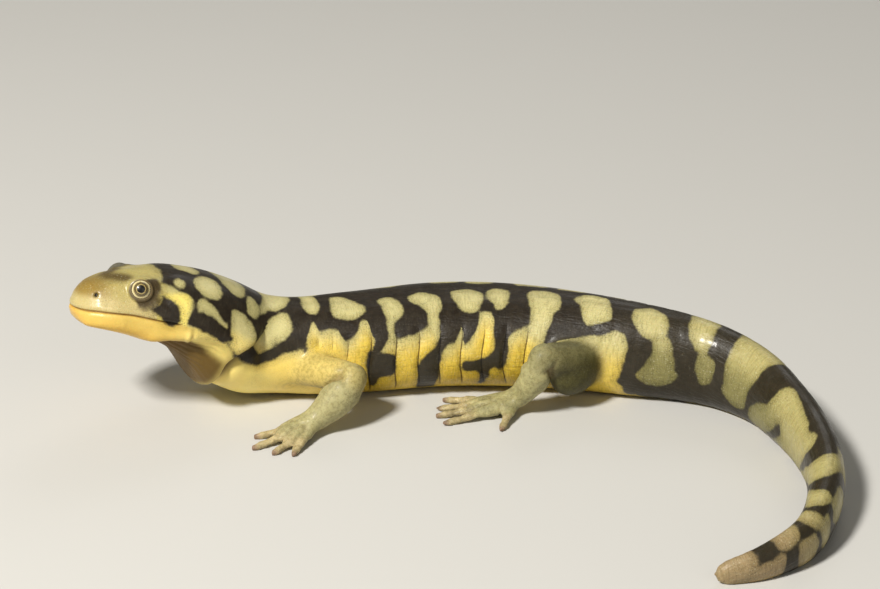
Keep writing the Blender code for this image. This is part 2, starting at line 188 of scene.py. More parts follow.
def bodySurface(share, turn):
    at = bodyLength * crowded(share, body["crowding"])
    ring = bodyFrames(at)
    across, rise = np.sin(turn), np.cos(turn)
    out = (np.abs(across) ** ring["square"] + np.abs(rise) ** ring["square"]) ** (-1 / ring["square"])
    tall = np.where(rise > 0, ring["height"], ring["depth"])
    return (
        ring["centre"] + ring["left"] * (ring["width"] * across * out)[:, None]
        + ring["top"] * (tall * rise * out)[:, None]
    )


def rolledTube(place, rings, sides):
    # a grid rolled into a closed tube: one way runs along it, the other round it
    tube = bmesh.new()
    bmesh.ops.create_grid(tube, x_segments=rings, y_segments=sides, size=1)
    flat = np.array([vert.co for vert in tube.verts])
    low, high = flat.min(0), flat.max(0)
    along, around = ((flat[:, i] - low[i]) / (high[i] - low[i]) for i in (0, 1))
    for vert, point in zip(tube.verts, place(along, around * 2 * math.pi)):
        vert.co = point
    bmesh.ops.remove_doubles(tube, verts=tube.verts, dist=1e-4)
    bmesh.ops.recalc_face_normals(tube, faces=tube.faces)
    return tube


def finishMesh(name, form):
    mesh = bpy.data.meshes.new(name)
    form.to_mesh(mesh)
    form.free()
    return mesh


def addObject(name, data):
    made = bpy.data.objects.new(name, data)
    bpy.context.scene.collection.objects.link(made)
    return made


def addTo(whole, part):
    mesh = finishMesh("part", part)
    whole.from_mesh(mesh)
    bpy.data.meshes.remove(mesh)


# limbs: each path runs from the root by the bends to the palm, and each digit from its root to its tip
leftArm = {
    "path": (
        (-31.5, -8, 7.6), (-25.4, -15.2, 9.8), (-18.0, -20.8, 11.0), (-20.9, -22.6, 7.4),
        (-25.4, -24.2, 3.6), (-28.2, -25.8, 2.4), (-31.0, -27.3, 1.8),
    ),
    "digits": (
        ((-29.5, -25.0), (-38.0, -27.2)), ((-30.0, -27.4), (-38.2, -32.0)),
        ((-28.6, -28.6), (-34.0, -34.2)), ((-27.2, -28.2), (-30.0, -34.6)),
    ),
}
rightArm = {
    "path": (
        (-30.5, -1, 9.4), (-27.0, 7.0, 10.2), (-21.4, 13.0, 9.4), (-23.6, 16.2, 6.6),
        (-27.6, 19.0, 3.7), (-30.9, 20.3, 2.4), (-34.2, 21.6, 1.8),
    ),
    "digits": (
        ((-33.2, 19.8), (-41.4, 19.6)), ((-33.6, 21.8), (-42.0, 24.8)),
        ((-32.6, 23.2), (-38.4, 29.0)), ((-30.8, 23.2), (-33.0, 29.4)),
    ),
}
leftLeg = {
    "path": (
        (33.5, -4, 7.8), (28.6, -11.8, 10.4), (21.6, -17.0, 13.7), (19.6, -17.0, 8.8),
        (16.6, -15.2, 3.9), (13.4, -15.6, 2.5), (9.6, -16.0, 1.9),
    ),
    "digits": (
        ((10.5, -13.8), (0.9, -10.6)), ((9.8, -15.2), (-0.1, -14.6)),
        ((9.8, -16.8), (-0.4, -17.8)), ((10.6, -18.4), (1.2, -21.2)),
        ((14.8, -18.2), (12.8, -23.8)),
    ),
    # a thigh hangs a little below the line of its leg: place, level direction, half lengths along, across and up
    "thigh": ((28.4, -12.2, 8.1), (-0.675, -0.738), (6.4, 4.3, 4.9)),
}
rightLeg = {
    "path": (
        (33.5, 0, 7.8), (31.6, 7.6, 9.4), (28.6, 14.4, 9.8), (31.4, 17.4, 7.0),
        (36.0, 19.8, 3.9), (35.9, 22.8, 2.5), (35.2, 26.6, 1.9),
    ),
    "digits": (
        ((33.0, 25.6), (25.6, 28.2)), ((33.4, 26.8), (26.8, 33.0)),
        ((34.8, 27.4), (31.4, 36.4)), ((36.4, 27.0), (37.4, 36.2)),
        ((37.4, 25.6), (42.6, 31.4)),
    ),
    "thigh": ((30.6, 8.2, 8.3), (-0.301, 0.954), (6.2, 4.2, 4.7)),
}
armRadii = (4.3, 3.6, 3.2, 3.6, 2.9, 3.4, 3.2)
legRadii = (5.4, 4.3, 3.3, 3.0, 2.7, 3.4, 3.4)
limbLook = {
    "palmFlatness": 0.6, "crowding": 0.9,
    "digitRadii": ((0, 1.4), (0.3, 1.04), (0.45, 1.08), (0.65, 0.9), (0.82, 0.94), (1, 0.82)),
    "digitHeights": (1.7, 0.8),  # of the roots and the tips, above the floor
    "digitArch": 0.3, "digitJoints": (0.36, 0.7), "tipDrop": 0.22, "digitFlatness": 0.88,
}
limbs = (
    ("leftArm", leftArm, armRadii), ("rightArm", rightArm, armRadii),
    ("leftLeg", leftLeg, legRadii), ("rightLeg", rightLeg, legRadii),
)


def tubePlacer(path, radii, flatness):
    # flatness and radii are by distance along the path; both ends are rounded
    length = path[-1][0]

    def place(along, around):
        first, last = radii[0][1], radii[-1][1]
        at = -first + (length + first + last) * crowded(along, limbLook["crowding"])
        inside = np.clip(at, 0, length)
        tangent = unit(
            smoothThrough(path, np.minimum(inside + 0.1, length)) - smoothThrough(path, np.maximum(inside - 0.1, 0))
        )
        side, top = axesAlong(tangent, np.zeros(len(at)))
        radius = smoothThrough(radii, inside)
        flat = smoothThrough(flatness, inside)
        over = at - inside
        cap = np.where(over < 0, -over / first, over / last)
        ringRadius = radius * np.sqrt(np.clip(1 - cap**2, 0, 1))
        return (
            smoothThrough(path, inside) + tangent * over[:, None]
            + side * (ringRadius * np.cos(around))[:, None]
            + top * (ringRadius * flat * np.sin(around))[:, None]
        )

    return place


def digitPath(root, tip):
    root, tip = np.array(root), np.array(tip) - (0, 0, limbLook["tipDrop"])
    along = tip - root
    arch = np.array([0, 0, limbLook["digitArch"]])
    first, second = limbLook["digitJoints"]
    return byLength([root, root + along * first + arch, root + along * second, tip])


def limbLengths(spec, radii):
    # upper length, lower length and palm, each with its path, radii and flatness by distance
    for first, last in ((0, 2), (2, 4), (4, 6)):
        path = byLength(spec["path"][first : last + 1])
        flat = limbLook["palmFlatness"] if first == 4 else 1.0
        thick = [(at, radius) for (at, _), radius in zip(path, radii[first : last + 1])]
        yield path, thick, [(0, flat), (path[-1][0], flat)]


def digitEnds(spec):
    rootHeight, tipHeight = limbLook["digitHeights"]
    return [((*root, rootHeight), (*tip, tipHeight)) for root, tip in spec["digits"]]


def digits(spec):
    for root, tip in digitEnds(spec):
        path = digitPath(root, tip)
        length = path[-1][0]
        yield (
            path, [(share * length, radius) for share, radius in limbLook["digitRadii"]],
            [(0, limbLook["digitFlatness"]), (length, limbLook["digitFlatness"])],
        )


eye = {
    "radius": 2.45,
    "place": (11.9, 6.8, 5.5),  # behind the mouth's front, to the side, above the mouth
    "forward": 21.0, "up": 17.0,  # degrees that it looks forwards and upwards
    "mound": (3.7, 3.0, 3.0), "moundBack": 0.6,
    "opening": (2.02, 1.86),  # half length and half height between the lids
}


def eyeAxes(sign):
    forward, up = math.radians(eye["forward"]), math.radians(eye["up"])
    level = headLeft * sign * math.cos(forward) - headBack * math.sin(forward)
    look = level * math.cos(up) + headTop * math.sin(up)
    along = unit(np.cross(look, headTop))
    return along, np.cross(look, along), look  # the second runs down


def eyeCentre(sign):
    back, out, rise = eye["place"]
    return headPoint(back, sign * out, rise)


# the solids are centred on the origin, so the shift between them and these lines comes from an eye
eyeLow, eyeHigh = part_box("left_eye")
shift = np.array((eyeLow + eyeHigh) / 2) / mm - eyeCentre(1)
print("shift of the body's lines, mm:", np.round(shift, 3))


def placeBall(ball, sign, halves, back=0.0):
    turn = Matrix(np.column_stack(eyeAxes(sign)).tolist()).to_4x4()
    middle = eyeCentre(sign) + headBack * back
    place = Matrix.Translation(middle) @ turn @ Matrix.Diagonal((*halves, 1))
    bmesh.ops.transform(ball, matrix=place, verts=ball.verts)


def inEye(points, sign):
    # along the slit, down and outwards from the middle of an eye, and the distance from it
    away = points - eyeCentre(sign)
    return (*(away @ axis for axis in eyeAxes(sign)), np.linalg.norm(away, axis=1))


# one closed form for all the flesh
skinForm = {
    "voxel": 0.7,
    "rings": (420, 120), "limbRings": (48, 32),  # faces along and round, before the forms are fused
    "relaxTimes": 3, "junctionRelax": 22, "finishRelax": 2,
    "keepsVolume": (0.6, -0.56),  # each point moves towards its neighbours, then a little back
    "fills": (0.6,),  # without the way back, an inner corner fills up
    # how far the joins reach: (weight and) millimetres at a limb's root, a web, a bend, an eye and the neck
    "rootJoin": 2.2, "webJoin": (0.25, 0.9), "bendJoin": (0.35, 1.5), "eyeJoin": (0.8, 4.2, 1.6), "neckJoin": (43, 7),
}


def rowsOf(items, key, width=3, kind=float):
    rows = np.empty(len(items) * width, kind)
    items.foreach_get(key, rows)
    return rows.reshape(-1, width)


def neighbourMean(values, edges):
    count = np.bincount(edges.ravel(), minlength=len(values))
    return np.stack([
        (np.bincount(edges[:, 0], column[edges[:, 1]], len(values))
         + np.bincount(edges[:, 1], column[edges[:, 0]], len(values))) / count
        for column in values.T
    ], -1)


def relax(points, edges, weight, times, pushes=skinForm["keepsVolume"]):
    for _ in range(times):
        for push in pushes:
            points = points + (neighbourMean(points, edges) - points) * push * weight[:, None]
    return points


def fuse(form, voxel):
    mesh = finishMesh("fuse", form)
    made = addObject("fuse", mesh)
    remesh = made.modifiers.new("fuse", "REMESH")
    remesh.mode = "VOXEL"
    remesh.voxel_size = voxel
    graph = bpy.context.evaluated_depsgraph_get()
    fused = bpy.data.meshes.new_from_object(made.evaluated_get(graph))
    bpy.data.objects.remove(made)
    bpy.data.meshes.remove(mesh)
    return fused


whole = rolledTube(bodySurface, *skinForm["rings"])
for _, spec, radii in limbs:
    for path, thick, flat in (*limbLengths(spec, radii), *digits(spec)):
        addTo(whole, rolledTube(tubePlacer(path, thick, flat), *skinForm["limbRings"]))
for sign in bothSides:
    ball = bmesh.new()
    bmesh.ops.create_icosphere(ball, subdivisions=5, radius=1)
    placeBall(ball, sign, eye["mound"], eye["moundBack"])
    addTo(whole, ball)
for place, direction, halves in (leftLeg["thigh"], rightLeg["thigh"]):
    ball = bmesh.new()
    turned = Matrix.Rotation(math.atan2(direction[1], direction[0]), 4, "Z") @ Matrix.Diagonal((*halves, 1))
    bmesh.ops.create_icosphere(ball, subdivisions=4, radius=1, matrix=Matrix.Translation(place) @ turned)
    addTo(whole, ball)
skinMesh = fuse(whole, skinForm["voxel"])
print("flesh fused:", len(skinMesh.vertices), "points")


# where each point lies on the body, a limb and the head
fine = np.arange(0, bodyLength, 0.25)
fineFrames = bodyFrames(fine)


def onBody(points):
    nearest = np.empty(len(points), int)
    centre = fineFrames["centre"]
    for start in range(0, len(points), 8000):
        part = points[start : start + 8000]
        gap = (part**2).sum(1)[:, None] - 2 * part @ centre.T + (centre**2).sum(1)[None]
        nearest[start : start + 8000] = gap.argmin(1)
    at = fine[nearest] + ((points - centre[nearest]) * fineFrames["tangent"][nearest]).sum(1).clip(-0.3, 0.3)
    at = at.clip(0.2, bodyLength - 0.3)
    ring = {key: np.stack([np.interp(at, fine, column) for column in np.atleast_2d(value.T)], -1).squeeze()
            for key, value in fineFrames.items()}
    away = points - ring["centre"]
    across = (away * ring["left"]).sum(1) / ring["width"]
    rise = (away * ring["top"]).sum(1)
    rise = rise / np.where(rise > 0, ring["height"], ring["depth"])
    turn = np.arctan2(across, rise)  # 0 along the back, positive to the animal's left
    girth = (ring["width"] + (ring["height"] + ring["depth"]) / 2) / 2
    out = (np.abs(across) ** ring["square"] + np.abs(rise) ** ring["square"]) ** (1 / ring["square"])
    return {"at": at, "turn": turn, "arc": turn * girth, "gap": (out - 1) * girth}


def onPath(points, path, radii, flatness):
    at = np.linspace(0, path[-1][0], 60)
    centre = smoothThrough(path, at)
    gap = np.linalg.norm(points[:, None] - centre[None], axis=2)
    near = gap.argmin(1)
    radius = smoothThrough(radii, at[near])
    flat = smoothThrough(flatness, at[near])
    rise = points[:, 2] - centre[near, 2]
    level = np.sqrt(np.maximum(gap[np.arange(len(points)), near] ** 2 - rise**2, 0))
    return at[near], np.hypot(level, rise / flat) - radius


def thighGap(points, place, direction, halves):
    away = points - place
    x, y = direction
    scaled = np.stack([away @ (x, y, 0), away @ (-y, x, 0), away[:, 2]], -1) / halves
    return (np.linalg.norm(scaled, axis=1) - 1) * halves[1]


def keepNearer(limb, near, gapKey, gap, placeKey, place):
    closer = gap < limb[gapKey][near]
    limb[gapKey][near] = np.where(closer, gap, limb[gapKey][near])
    limb[placeKey][near] = np.where(closer, place, limb[placeKey][near])


def onLimbs(points):
    # for each limb: distance along it, gap to its surface, and the same for its nearest digit
    found = {}
    gapKeys = ("gap", "digitGap", "nextDigitGap", "bendGap", "thighGap")
    shareKeys = ("along", "digitShare", "lower")
    for name, spec, radii in limbs:
        ends = np.array([*spec["path"], *(tip for _, tip in digitEnds(spec))])
        near = np.flatnonzero(((points > ends.min(0) - 9) & (points < ends.max(0) + 9)).all(1))
        limb = {key: np.full(len(points), outOfReach) for key in gapKeys}
        limb |= {key: np.zeros(len(points)) for key in shareKeys}
        limb["bends"], gaps, start = [], [], 0.0
        for path, thick, flat in limbLengths(spec, radii):
            at, gap = onPath(points[near], path, thick, flat)
            keepNearer(limb, near, "gap", gap, "along", start + at)
            start += path[-1][0]
            limb["bends"].append(start)
            gaps.append(gap)
        if "thigh" in spec:
            limb["thighGap"][near] = thighGap(points[near], *spec["thigh"])
            gaps[0] = np.minimum(gaps[0], limb["thighGap"][near])
        limb["bendGap"][near] = gaps[0] - np.minimum(gaps[1], gaps[2])
        soft = 0.7 if "thigh" in spec else 1.4
        limb["lower"][near] = ease(-soft, soft, limb["bendGap"][near])
        for path, thick, flat in digits(spec):
            at, gap = onPath(points[near], path, thick, flat)
            further = np.maximum(gap, limb["digitGap"][near])
            limb["nextDigitGap"][near] = np.minimum(limb["nextDigitGap"][near], further)
            keepNearer(limb, near, "digitGap", gap, "digitShare", at / path[-1][0])
        found[name] = limb
    return found


def junctionWeight(points):
    onTrunk = onBody(points)
    weight = np.zeros(len(points))
    for limb in onLimbs(points).values():
        root = hump(onTrunk["gap"], 0, skinForm["rootJoin"]) * hump(limb["gap"], 0, skinForm["rootJoin"])
        weight = np.maximum(weight, root * fades(16, 24, limb["along"]))
        share, reach = skinForm["webJoin"]
        webs = hump(limb["gap"], 0, reach) * hump(limb["digitGap"], 0, reach)
        weight = np.maximum(weight, share * webs * ease(limb["bends"][1], limb["bends"][2], limb["along"]))
        share, reach = skinForm["bendJoin"]
        for bend in limb["bends"][:2]:
            weight = np.maximum(weight, share * hump(limb["along"], bend, reach) * (limb["gap"] < 1))
    share, middle, reach = skinForm["eyeJoin"]
    for sign in bothSides:
        weight = np.maximum(weight, share * hump(inEye(points, sign)[3], middle, reach))
    return np.maximum(weight, hump(onTrunk["at"], *skinForm["neckJoin"]) * (onTrunk["gap"] < 2.5))


points = rowsOf(skinMesh.vertices, "co")
edges = rowsOf(skinMesh.edges, "vertices", 2, int)
points = relax(points, edges, np.ones(len(points)), skinForm["relaxTimes"])
points = relax(points, edges, junctionWeight(points), skinForm["junctionRelax"], skinForm["fills"])
skinMesh.vertices.foreach_set("co", points.ravel())
print("joins filleted")

# where the skin's lines and small hollows run
details = {
    "mouthLine": ((-6, -0.5), (0, -0.3), (4, 0.3), (9.5, 0.6), (14, 0.3), (20.5, -0.1)),  # behind the front, above it
    "mouthCorner": 20.2,
    "nostril": (3.2, 4.8, 3.4),
    "grooves": (54.2, 57.0, 60.3, 65.3, 70.5, 75.7, 81.0, 86.8, 92.2, 97.5, 103.0, 108.5),
    "throatFold": ((0, 38.0), (12, 37.5), (15, 36.3), (17, 35.0), (19, 34.0), (23.5, 33.3), (28, 33.2), (37, 33.5)),
    "armpit": (49.7, 22.1),  # along the body, and out from the middle of the back
    # faces are halved first on the head (along, out), the flank's grooves (out from, to, along) and round the eyes
    "finerHead": (36, 30), "finerFlank": (6, 26, 106), "finerGroove": 0.7, "finerEye": 5.5,
    # then twice more: ring round the lids, reach from it and from the mouth, the mouth's end, reach of a nostril
    "finer": ((0.5, 1.6, 1.0, 21.5, 1.4), (0.0, 0.42, 0.36, 21.0, 0.8)),
}


def wobble(points, size, seed):
    # smooth noise from -1 to 1, with lumps about this many millimetres across
    offset = Vector((seed * 17.3, seed * 5.1, seed * 9.7))
    return np.array([noise.noise(Vector(point) + offset) for point in points / size])


def lidPlace(points, sign):
    # distance outwards from the edge of the lids, measured on the eyeball, how low, and how far from its middle
    x, y, z, reach = inEye(points, sign)
    around = np.arctan2(y, x)
    halfLong, halfTall = eye["opening"]
    sine = 1 / np.hypot(np.cos(around) / halfLong, np.sin(around) / halfTall) / eye["radius"]
    outward = (np.arctan2(np.hypot(x, y), z) - np.arcsin(sine)) * eye["radius"]
    return outward, y, reach


def lidGap(points, ring):
    # distance from a ring round the nearer eye, this far out from the edge of its lids
    gaps = []
    for sign in bothSides:
        outward, _, reach = lidPlace(points, sign)
        gaps.append(np.abs(outward - ring) + 9 * (reach > 4.5))
    return np.minimum(*gaps)


def mouthGap(points):
    back, side, rise = inHead(points)
    gap = rise - smoothThrough(details["mouthLine"], back)
    return np.where((back > 24) | (np.abs(side) > 16) | (np.abs(rise) > 14), outOfReach, gap), back


def nostrilGap(points):
    back, out, rise = details["nostril"]
    gaps = []
    for sign in bothSides:
        middle = headPoint(back, sign * out, rise)
        middle = points[np.linalg.norm(points - middle, axis=1).argmin()]
        gaps.append(np.linalg.norm(points - middle, axis=1))
    return np.minimum(*gaps)


def grooveGap(onTrunk):
    lines = np.array(details["grooves"])
    at = onTrunk["at"] + 0.35 * np.sin(onTrunk["arc"] * 0.42) * np.sign(onTrunk["arc"])
    return np.abs(at[:, None] - lines[None]).min(1), np.interp(at, lines, np.arange(len(lines)))


def refine(mesh, chosen):
    form = bmesh.new()
    form.from_mesh(mesh)
    form.verts.ensure_lookup_table()
    picked = [edge for edge in form.edges if all(chosen[vert.index] for vert in edge.verts)]
    bmesh.ops.subdivide_edges(form, edges=picked, cuts=1, use_grid_fill=True)
    form.to_mesh(mesh)
    form.free()
    print("refined:", len(mesh.polygons), "faces")
    return rowsOf(mesh.vertices, "co")


def innerBend(points, spec, limb):
    # weight on the inner side of an elbow or a knee
    inner = (np.array(spec["path"][0]) + spec["path"][4]) / 2 - spec["path"][2]
    facing = unit(points - spec["path"][2]) @ unit(inner)
    facing = ease(-0.4, 0.1, facing) if "thigh" in spec else ease(-0.2, 0.4, facing)
    return facing * (np.abs(limb["along"] - limb["bends"][0]) < 9) * (np.minimum(limb["gap"], limb["thighGap"]) < 1.6)


def handsAndFeet(points):
    near = np.zeros(len(points), bool)
    for (_, spec, _), limb in zip(limbs, onLimbs(points).values()):
        near |= ((limb["along"] > limb["bends"][1] - 1) & (limb["gap"] < 0.6)) | (limb["digitGap"] < 0.6)
        near |= (innerBend(points, spec, limb) > 0.4) & (np.abs(limb["bendGap"] - 0.2) < 1.1)
    return near


onTrunk = onBody(points)
side = np.abs(onTrunk["arc"])
headEnd, headSide = details["finerHead"]
flankFrom, flankTo, flankEnd = details["finerFlank"]
flank = (side > flankFrom) & (side < flankTo) & (onTrunk["gap"] < 2) & (onTrunk["at"] < flankEnd)
chosen = (onTrunk["at"] < headEnd) & (side < headSide)
chosen |= flank & (grooveGap(onTrunk)[0] < details["finerGroove"])
chosen |= handsAndFeet(points)
for sign in bothSides:
    chosen |= inEye(points, sign)[3] < details["finerEye"]
points = refine(skinMesh, chosen)
for lidRing, lidReach, mouthReach, mouthEnd, nostrilReach in details["finer"]:
    gap, back = mouthGap(points)
    chosen = (lidGap(points, lidRing) < lidReach) | ((np.abs(gap) < mouthReach) & (back < mouthEnd))
    points = refine(skinMesh, chosen | (nostrilGap(points) < nostrilReach))
edges = rowsOf(skinMesh.edges, "vertices", 2, int)
points = relax(points, edges, np.ones(len(points)), skinForm["finishRelax"])


def outwards(mesh, points):
    mesh.vertices.foreach_set("co", points.ravel())
    mesh.update()
    return rowsOf(mesh.vertices, "normal")


onTrunk = onBody(points)
onEachLimb = onLimbs(points)
at, arc = onTrunk["at"], onTrunk["arc"]
side = np.abs(arc)
limbGap = np.minimum.reduce([np.minimum(limb["gap"], limb["digitGap"]) for limb in onEachLimb.values()])
trunkShare = ease(0.6, 2.2, limbGap - np.maximum(onTrunk["gap"], 0))
back, left, rise = inHead(points)
out = np.abs(left)


def near(place, reach):
    # a soft round weight about a place in the head, the same on both sides
    gaps = (back - place[0]) / reach[0], (out - place[1]) / reach[1], (rise - place[2]) / reach[2]
    return np.exp(-sum(gap * gap for gap in gaps))


def alongLine(first, last, width):
    # weight along a straight line in the head, given behind, out, above
    first, last = np.array(first, float), np.array(last, float)
    here = np.stack([back, out, rise], -1)
    run = last - first
    t = ((here - first) @ run / (run @ run)).clip(0, 1)
    return np.exp(-((np.linalg.norm(here - first - t[:, None] * run, axis=1) / width) ** 2))


# soft forms, as heights above the plain body; a place in the head is (behind the mouth's front, out, above)
softForms = {
    "foldRim": 1.25, "foldHollow": 0.8, "jawEdge": 0.6, "throatHollow": 1.5, "chin": 0.85,
    "throatPress": 0.7, "chest": 0.9, "backLine": 0.25,
    "chinDrop": 0.8, "snoutDrop": 0.5, "jawDrop": 0.9,
    "ankle": (1.1, (14.3, -17.0, 6.2), 2.2),  # the hollow in front of the left ankle: depth, place, reach
    "swellings": (  # height, place and reach
        (0.55, (21, 11, 3.4), (4.5, 4, 3.2)), (0.35, (18.5, 5.5, 8.5), (4.5, 3, 3)),
    ),
    "ridges": (  # height, both ends and half width
        (0.35, (3.8, 4.4, 4.6), (9.2, 6.2, 6.9), 1.1), (-0.3, (5.5, 7, 2.6), (10, 8.6, 3.0), 1.3),
        (-0.3, (14.6, 8.8, 5.0), (20.2, 12, 1.4), 0.7),
    ),
}
fold = at - smoothThrough(details["throatFold"], side)
foldShare = ease(10, 16, side) * (at < 48)
# painted shadow: a dark line just behind the throat's fold, used only for colour
foldShadow = hump(fold, 0.8, 0.75) * within(13, 16, 31, 35, side)
foldRim = softForms["foldRim"] * hump(np.minimum(fold, 0), 0, 4.2) * fades(-0.1, 0.8, fold)
push = foldShare * (foldRim - softForms["foldHollow"] * hump(fold, 1.3, 1.1))
# the edge of the jaw stands out, and the throat is drawn in beneath it
jowl = ease(13, 19, at) * fades(0, 2, fold)
push += jowl * (softForms["jawEdge"] * hump(side, 17.6, 1.9) - softForms["throatHollow"] * hump(side, 23.0, 3.0))
turn = np.abs(onTrunk["turn"])
push += softForms["chin"] * hump(turn, 2.1, 0.42) * within(0, 3, 15, 19, at)
push -= softForms["throatPress"] * hump(at, 24.5, 4.5) * ease(2.3, 2.9, turn)
push += softForms["chest"] * trunkShare * hump(fold, 6.8, 4.6) * within(15, 19, 24, 32, side)
depth, place, reach = softForms["ankle"]
push -= depth * hump(np.linalg.norm(points - place, axis=1), 0, reach)
for height, place, reach in softForms["swellings"]:
    push += height * near(place, reach)
for height, first, last, width in softForms["ridges"]:
    push += height * alongLine(first, last, width)
push -= softForms["backLine"] * trunkShare * hump(arc, 0, 1.3) * within(46, 56, 126, 140, at)
points = points + outwards(skinMesh, points) * push[:, None]
# a fuller chin, and a snout that slopes down to its end
drop = softForms["chinDrop"] * hump(back, 1.5, 3.2) * ease(-0.3, -1.6, rise)
drop += softForms["snoutDrop"] * hump(back, 3.2, 3.2) * ease(1.5, 4, rise)
drop += softForms["jawDrop"] * hump(at, 18, 5.5) * hump(side, 18.8, 3)
points -= headTop * drop[:, None]
points = relax(points, edges, (at < 50) * 1.0, 2)
print("soft folds raised")

fineForms = {
    "grooveDepth": 0.42, "grooveWidth": 0.26, "grooveBulge": 0.16,
    "tailLines": 0.1, "throatWrinkles": 0.2, "gather": 0.2, "gatherPit": 0.25,
    "rootFold": (0.15, 0.4),  # all round a limb's root, and more behind it
    "lips": (0.2, 0.12), "mouthDepth": 0.5, "pleat": (0.3, 0.2), "nostrilDepth": 0.5,
    "bendSwelling": 0.4, "bendFold": 0.95, "digitGroove": 0.4,
    "wristLine": 0.09, "wristSteps": (-1.3, -0.5, 0.4), "knuckle": 0.05, "knuckles": (0.42, 0.66),
}
gap, phase = grooveGap(onTrunk)
grooveShare = trunkShare * within(8.5, 14, 24, 28, side) * within(52, 54, 105, 112, at)
grooveShare *= np.where(at < 62, 0.75 * fades(15, 18, side), 1)
grooveLine = np.sin(math.pi * phase) * 1.69  # about the distance in millimetres near each groove
bulge = fineForms["grooveBulge"] * (0.5 - 0.5 * np.cos(2 * math.pi * phase))
push = (bulge - fineForms["grooveDepth"] * hump(gap, 0, fineForms["grooveWidth"])) * grooveShare
tailShare = trunkShare * within(112, 122, 200, 220, at)
tailLine = hump((at + 0.6 * np.sin(arc * 0.5)) % 4.6, 2.3, 0.4) * tailShare * ease(2, 4, side)
push -= fineForms["tailLines"] * tailLine
wrinkles = np.sin(side * 4.4 + 1.2 * np.sin(at * 0.5)) * within(13, 18, 28, 33, at) * within(18, 20, 32, 35, side)
push -= fineForms["throatWrinkles"] * np.maximum(wrinkles, 0)
# small wrinkles gather round a point behind the chest, where the arm begins
besideAt, besideOut = at - details["armpit"][0], side - details["armpit"][1]
away, around = np.hypot(besideAt, besideOut), np.arctan2(besideOut, besideAt)
gather = (0.5 + 0.5 * np.cos(away * 5.5 + 1.6 * np.sin(around * 2))) * hump(away, 0, 2.0)
push -= fineForms["gather"] * gather + fineForms["gatherPit"] * hump(away, 0, 0.7)
# the hollows of these wrinkles are darkened later as painted shade
creaseShade = 0.4 * gather

# the mouth: a thin closed line between two soft lips
gap, _ = mouthGap(points)
mouthShare = fades(details["mouthCorner"] - 1.2, details["mouthCorner"] + 0.6, back)
mouth = hump(gap, 0, 0.17) * mouthShare
upperLip, lowerLip = fineForms["lips"]
push += mouthShare * (upperLip * hump(gap, 0.8, 0.6) + lowerLip * hump(gap, -0.85, 0.6))
push -= fineForms["mouthDepth"] * mouth
pleatRise, pleatDip = fineForms["pleat"]
pleat = hump(rise, -2.2, 1.8) * (out > 5)
push += (pleatRise * hump(back, 21.8, 0.45) - pleatDip * hump(back, 22.7, 0.35)) * pleat
nostril = hump(nostrilGap(points), 0, 0.44)
push -= fineForms["nostrilDepth"] * nostril

for name, spec, _ in limbs:
    limb = onEachLimb[name]
    # a fold where the limb's root meets the flank, deepest behind it
    behind = ease(-3, 3, points[:, 0] - spec["path"][1][0])
    meeting = hump(onTrunk["gap"], 0, 0.9) * hump(limb["gap"], 0.2, 0.8) * (points[:, 2] > 1)
    push -= (fineForms["rootFold"][0] + fineForms["rootFold"][1] * behind) * meeting
    # folds inside the elbow or knee, between the digits, at the wrist and over the knuckles
    wrist = limb["bends"][1]
    inner = innerBend(points, spec, limb) * (1 - trunkShare)
    bend = limb["bendGap"] - 0.2
    push += inner * (fineForms["bendSwelling"] * hump(bend, 1.4, 0.8) - fineForms["bendFold"] * hump(bend, 0, 0.5))
    between = hump(limb["nextDigitGap"] - limb["digitGap"], 0, 0.4) * (limb["digitGap"] < 1.6)
    between *= ease(wrist + 0.5, wrist + 3, limb["along"])
    push -= fineForms["digitGroove"] * between
    wristLines = sum(hump(limb["along"], wrist + step, 0.22) for step in fineForms["wristSteps"])
    push -= fineForms["wristLine"] * wristLines * (limb["gap"] < 0.7)
    knuckles = sum(hump(limb["digitShare"], share, 0.025) for share in fineForms["knuckles"])
    push -= fineForms["knuckle"] * knuckles * (limb["digitGap"] < 0.5)
    # painted shade goes into the fold inside the bend, the root's fold behind the limb and the grooves between the
    # digits
    bendShade = 0.95 * inner * hump(bend, 0, 0.45)
    creaseShade = np.maximum.reduce([creaseShade, 0.5 * meeting * behind, bendShade, 0.35 * between])
points = points + outwards(skinMesh, points) * push[:, None]

# the lids lie round each eyeball, and the skin goes in behind their edge
for sign in bothSides:
    outward, low, reach = lidPlace(points, sign)
    thick = 0.42 + 0.12 * np.clip(low / 2, -1, 1)
    lid = eye["radius"] - 0.5 + 0.62 * ease(-0.3, 0.0, outward) + (thick - 0.12) * ease(-0.02, 0.34, outward)
    target = reach + (lid - reach) * fades(0.45, 1.7, outward) * (reach < 4.6)
    target -= 0.08 * hump(outward, 1.35, 0.3) * (reach < 5)
    points += (points - eyeCentre(sign)) * (target / reach - 1)[:, None]
print("lids, mouth, nostrils and grooves cut")

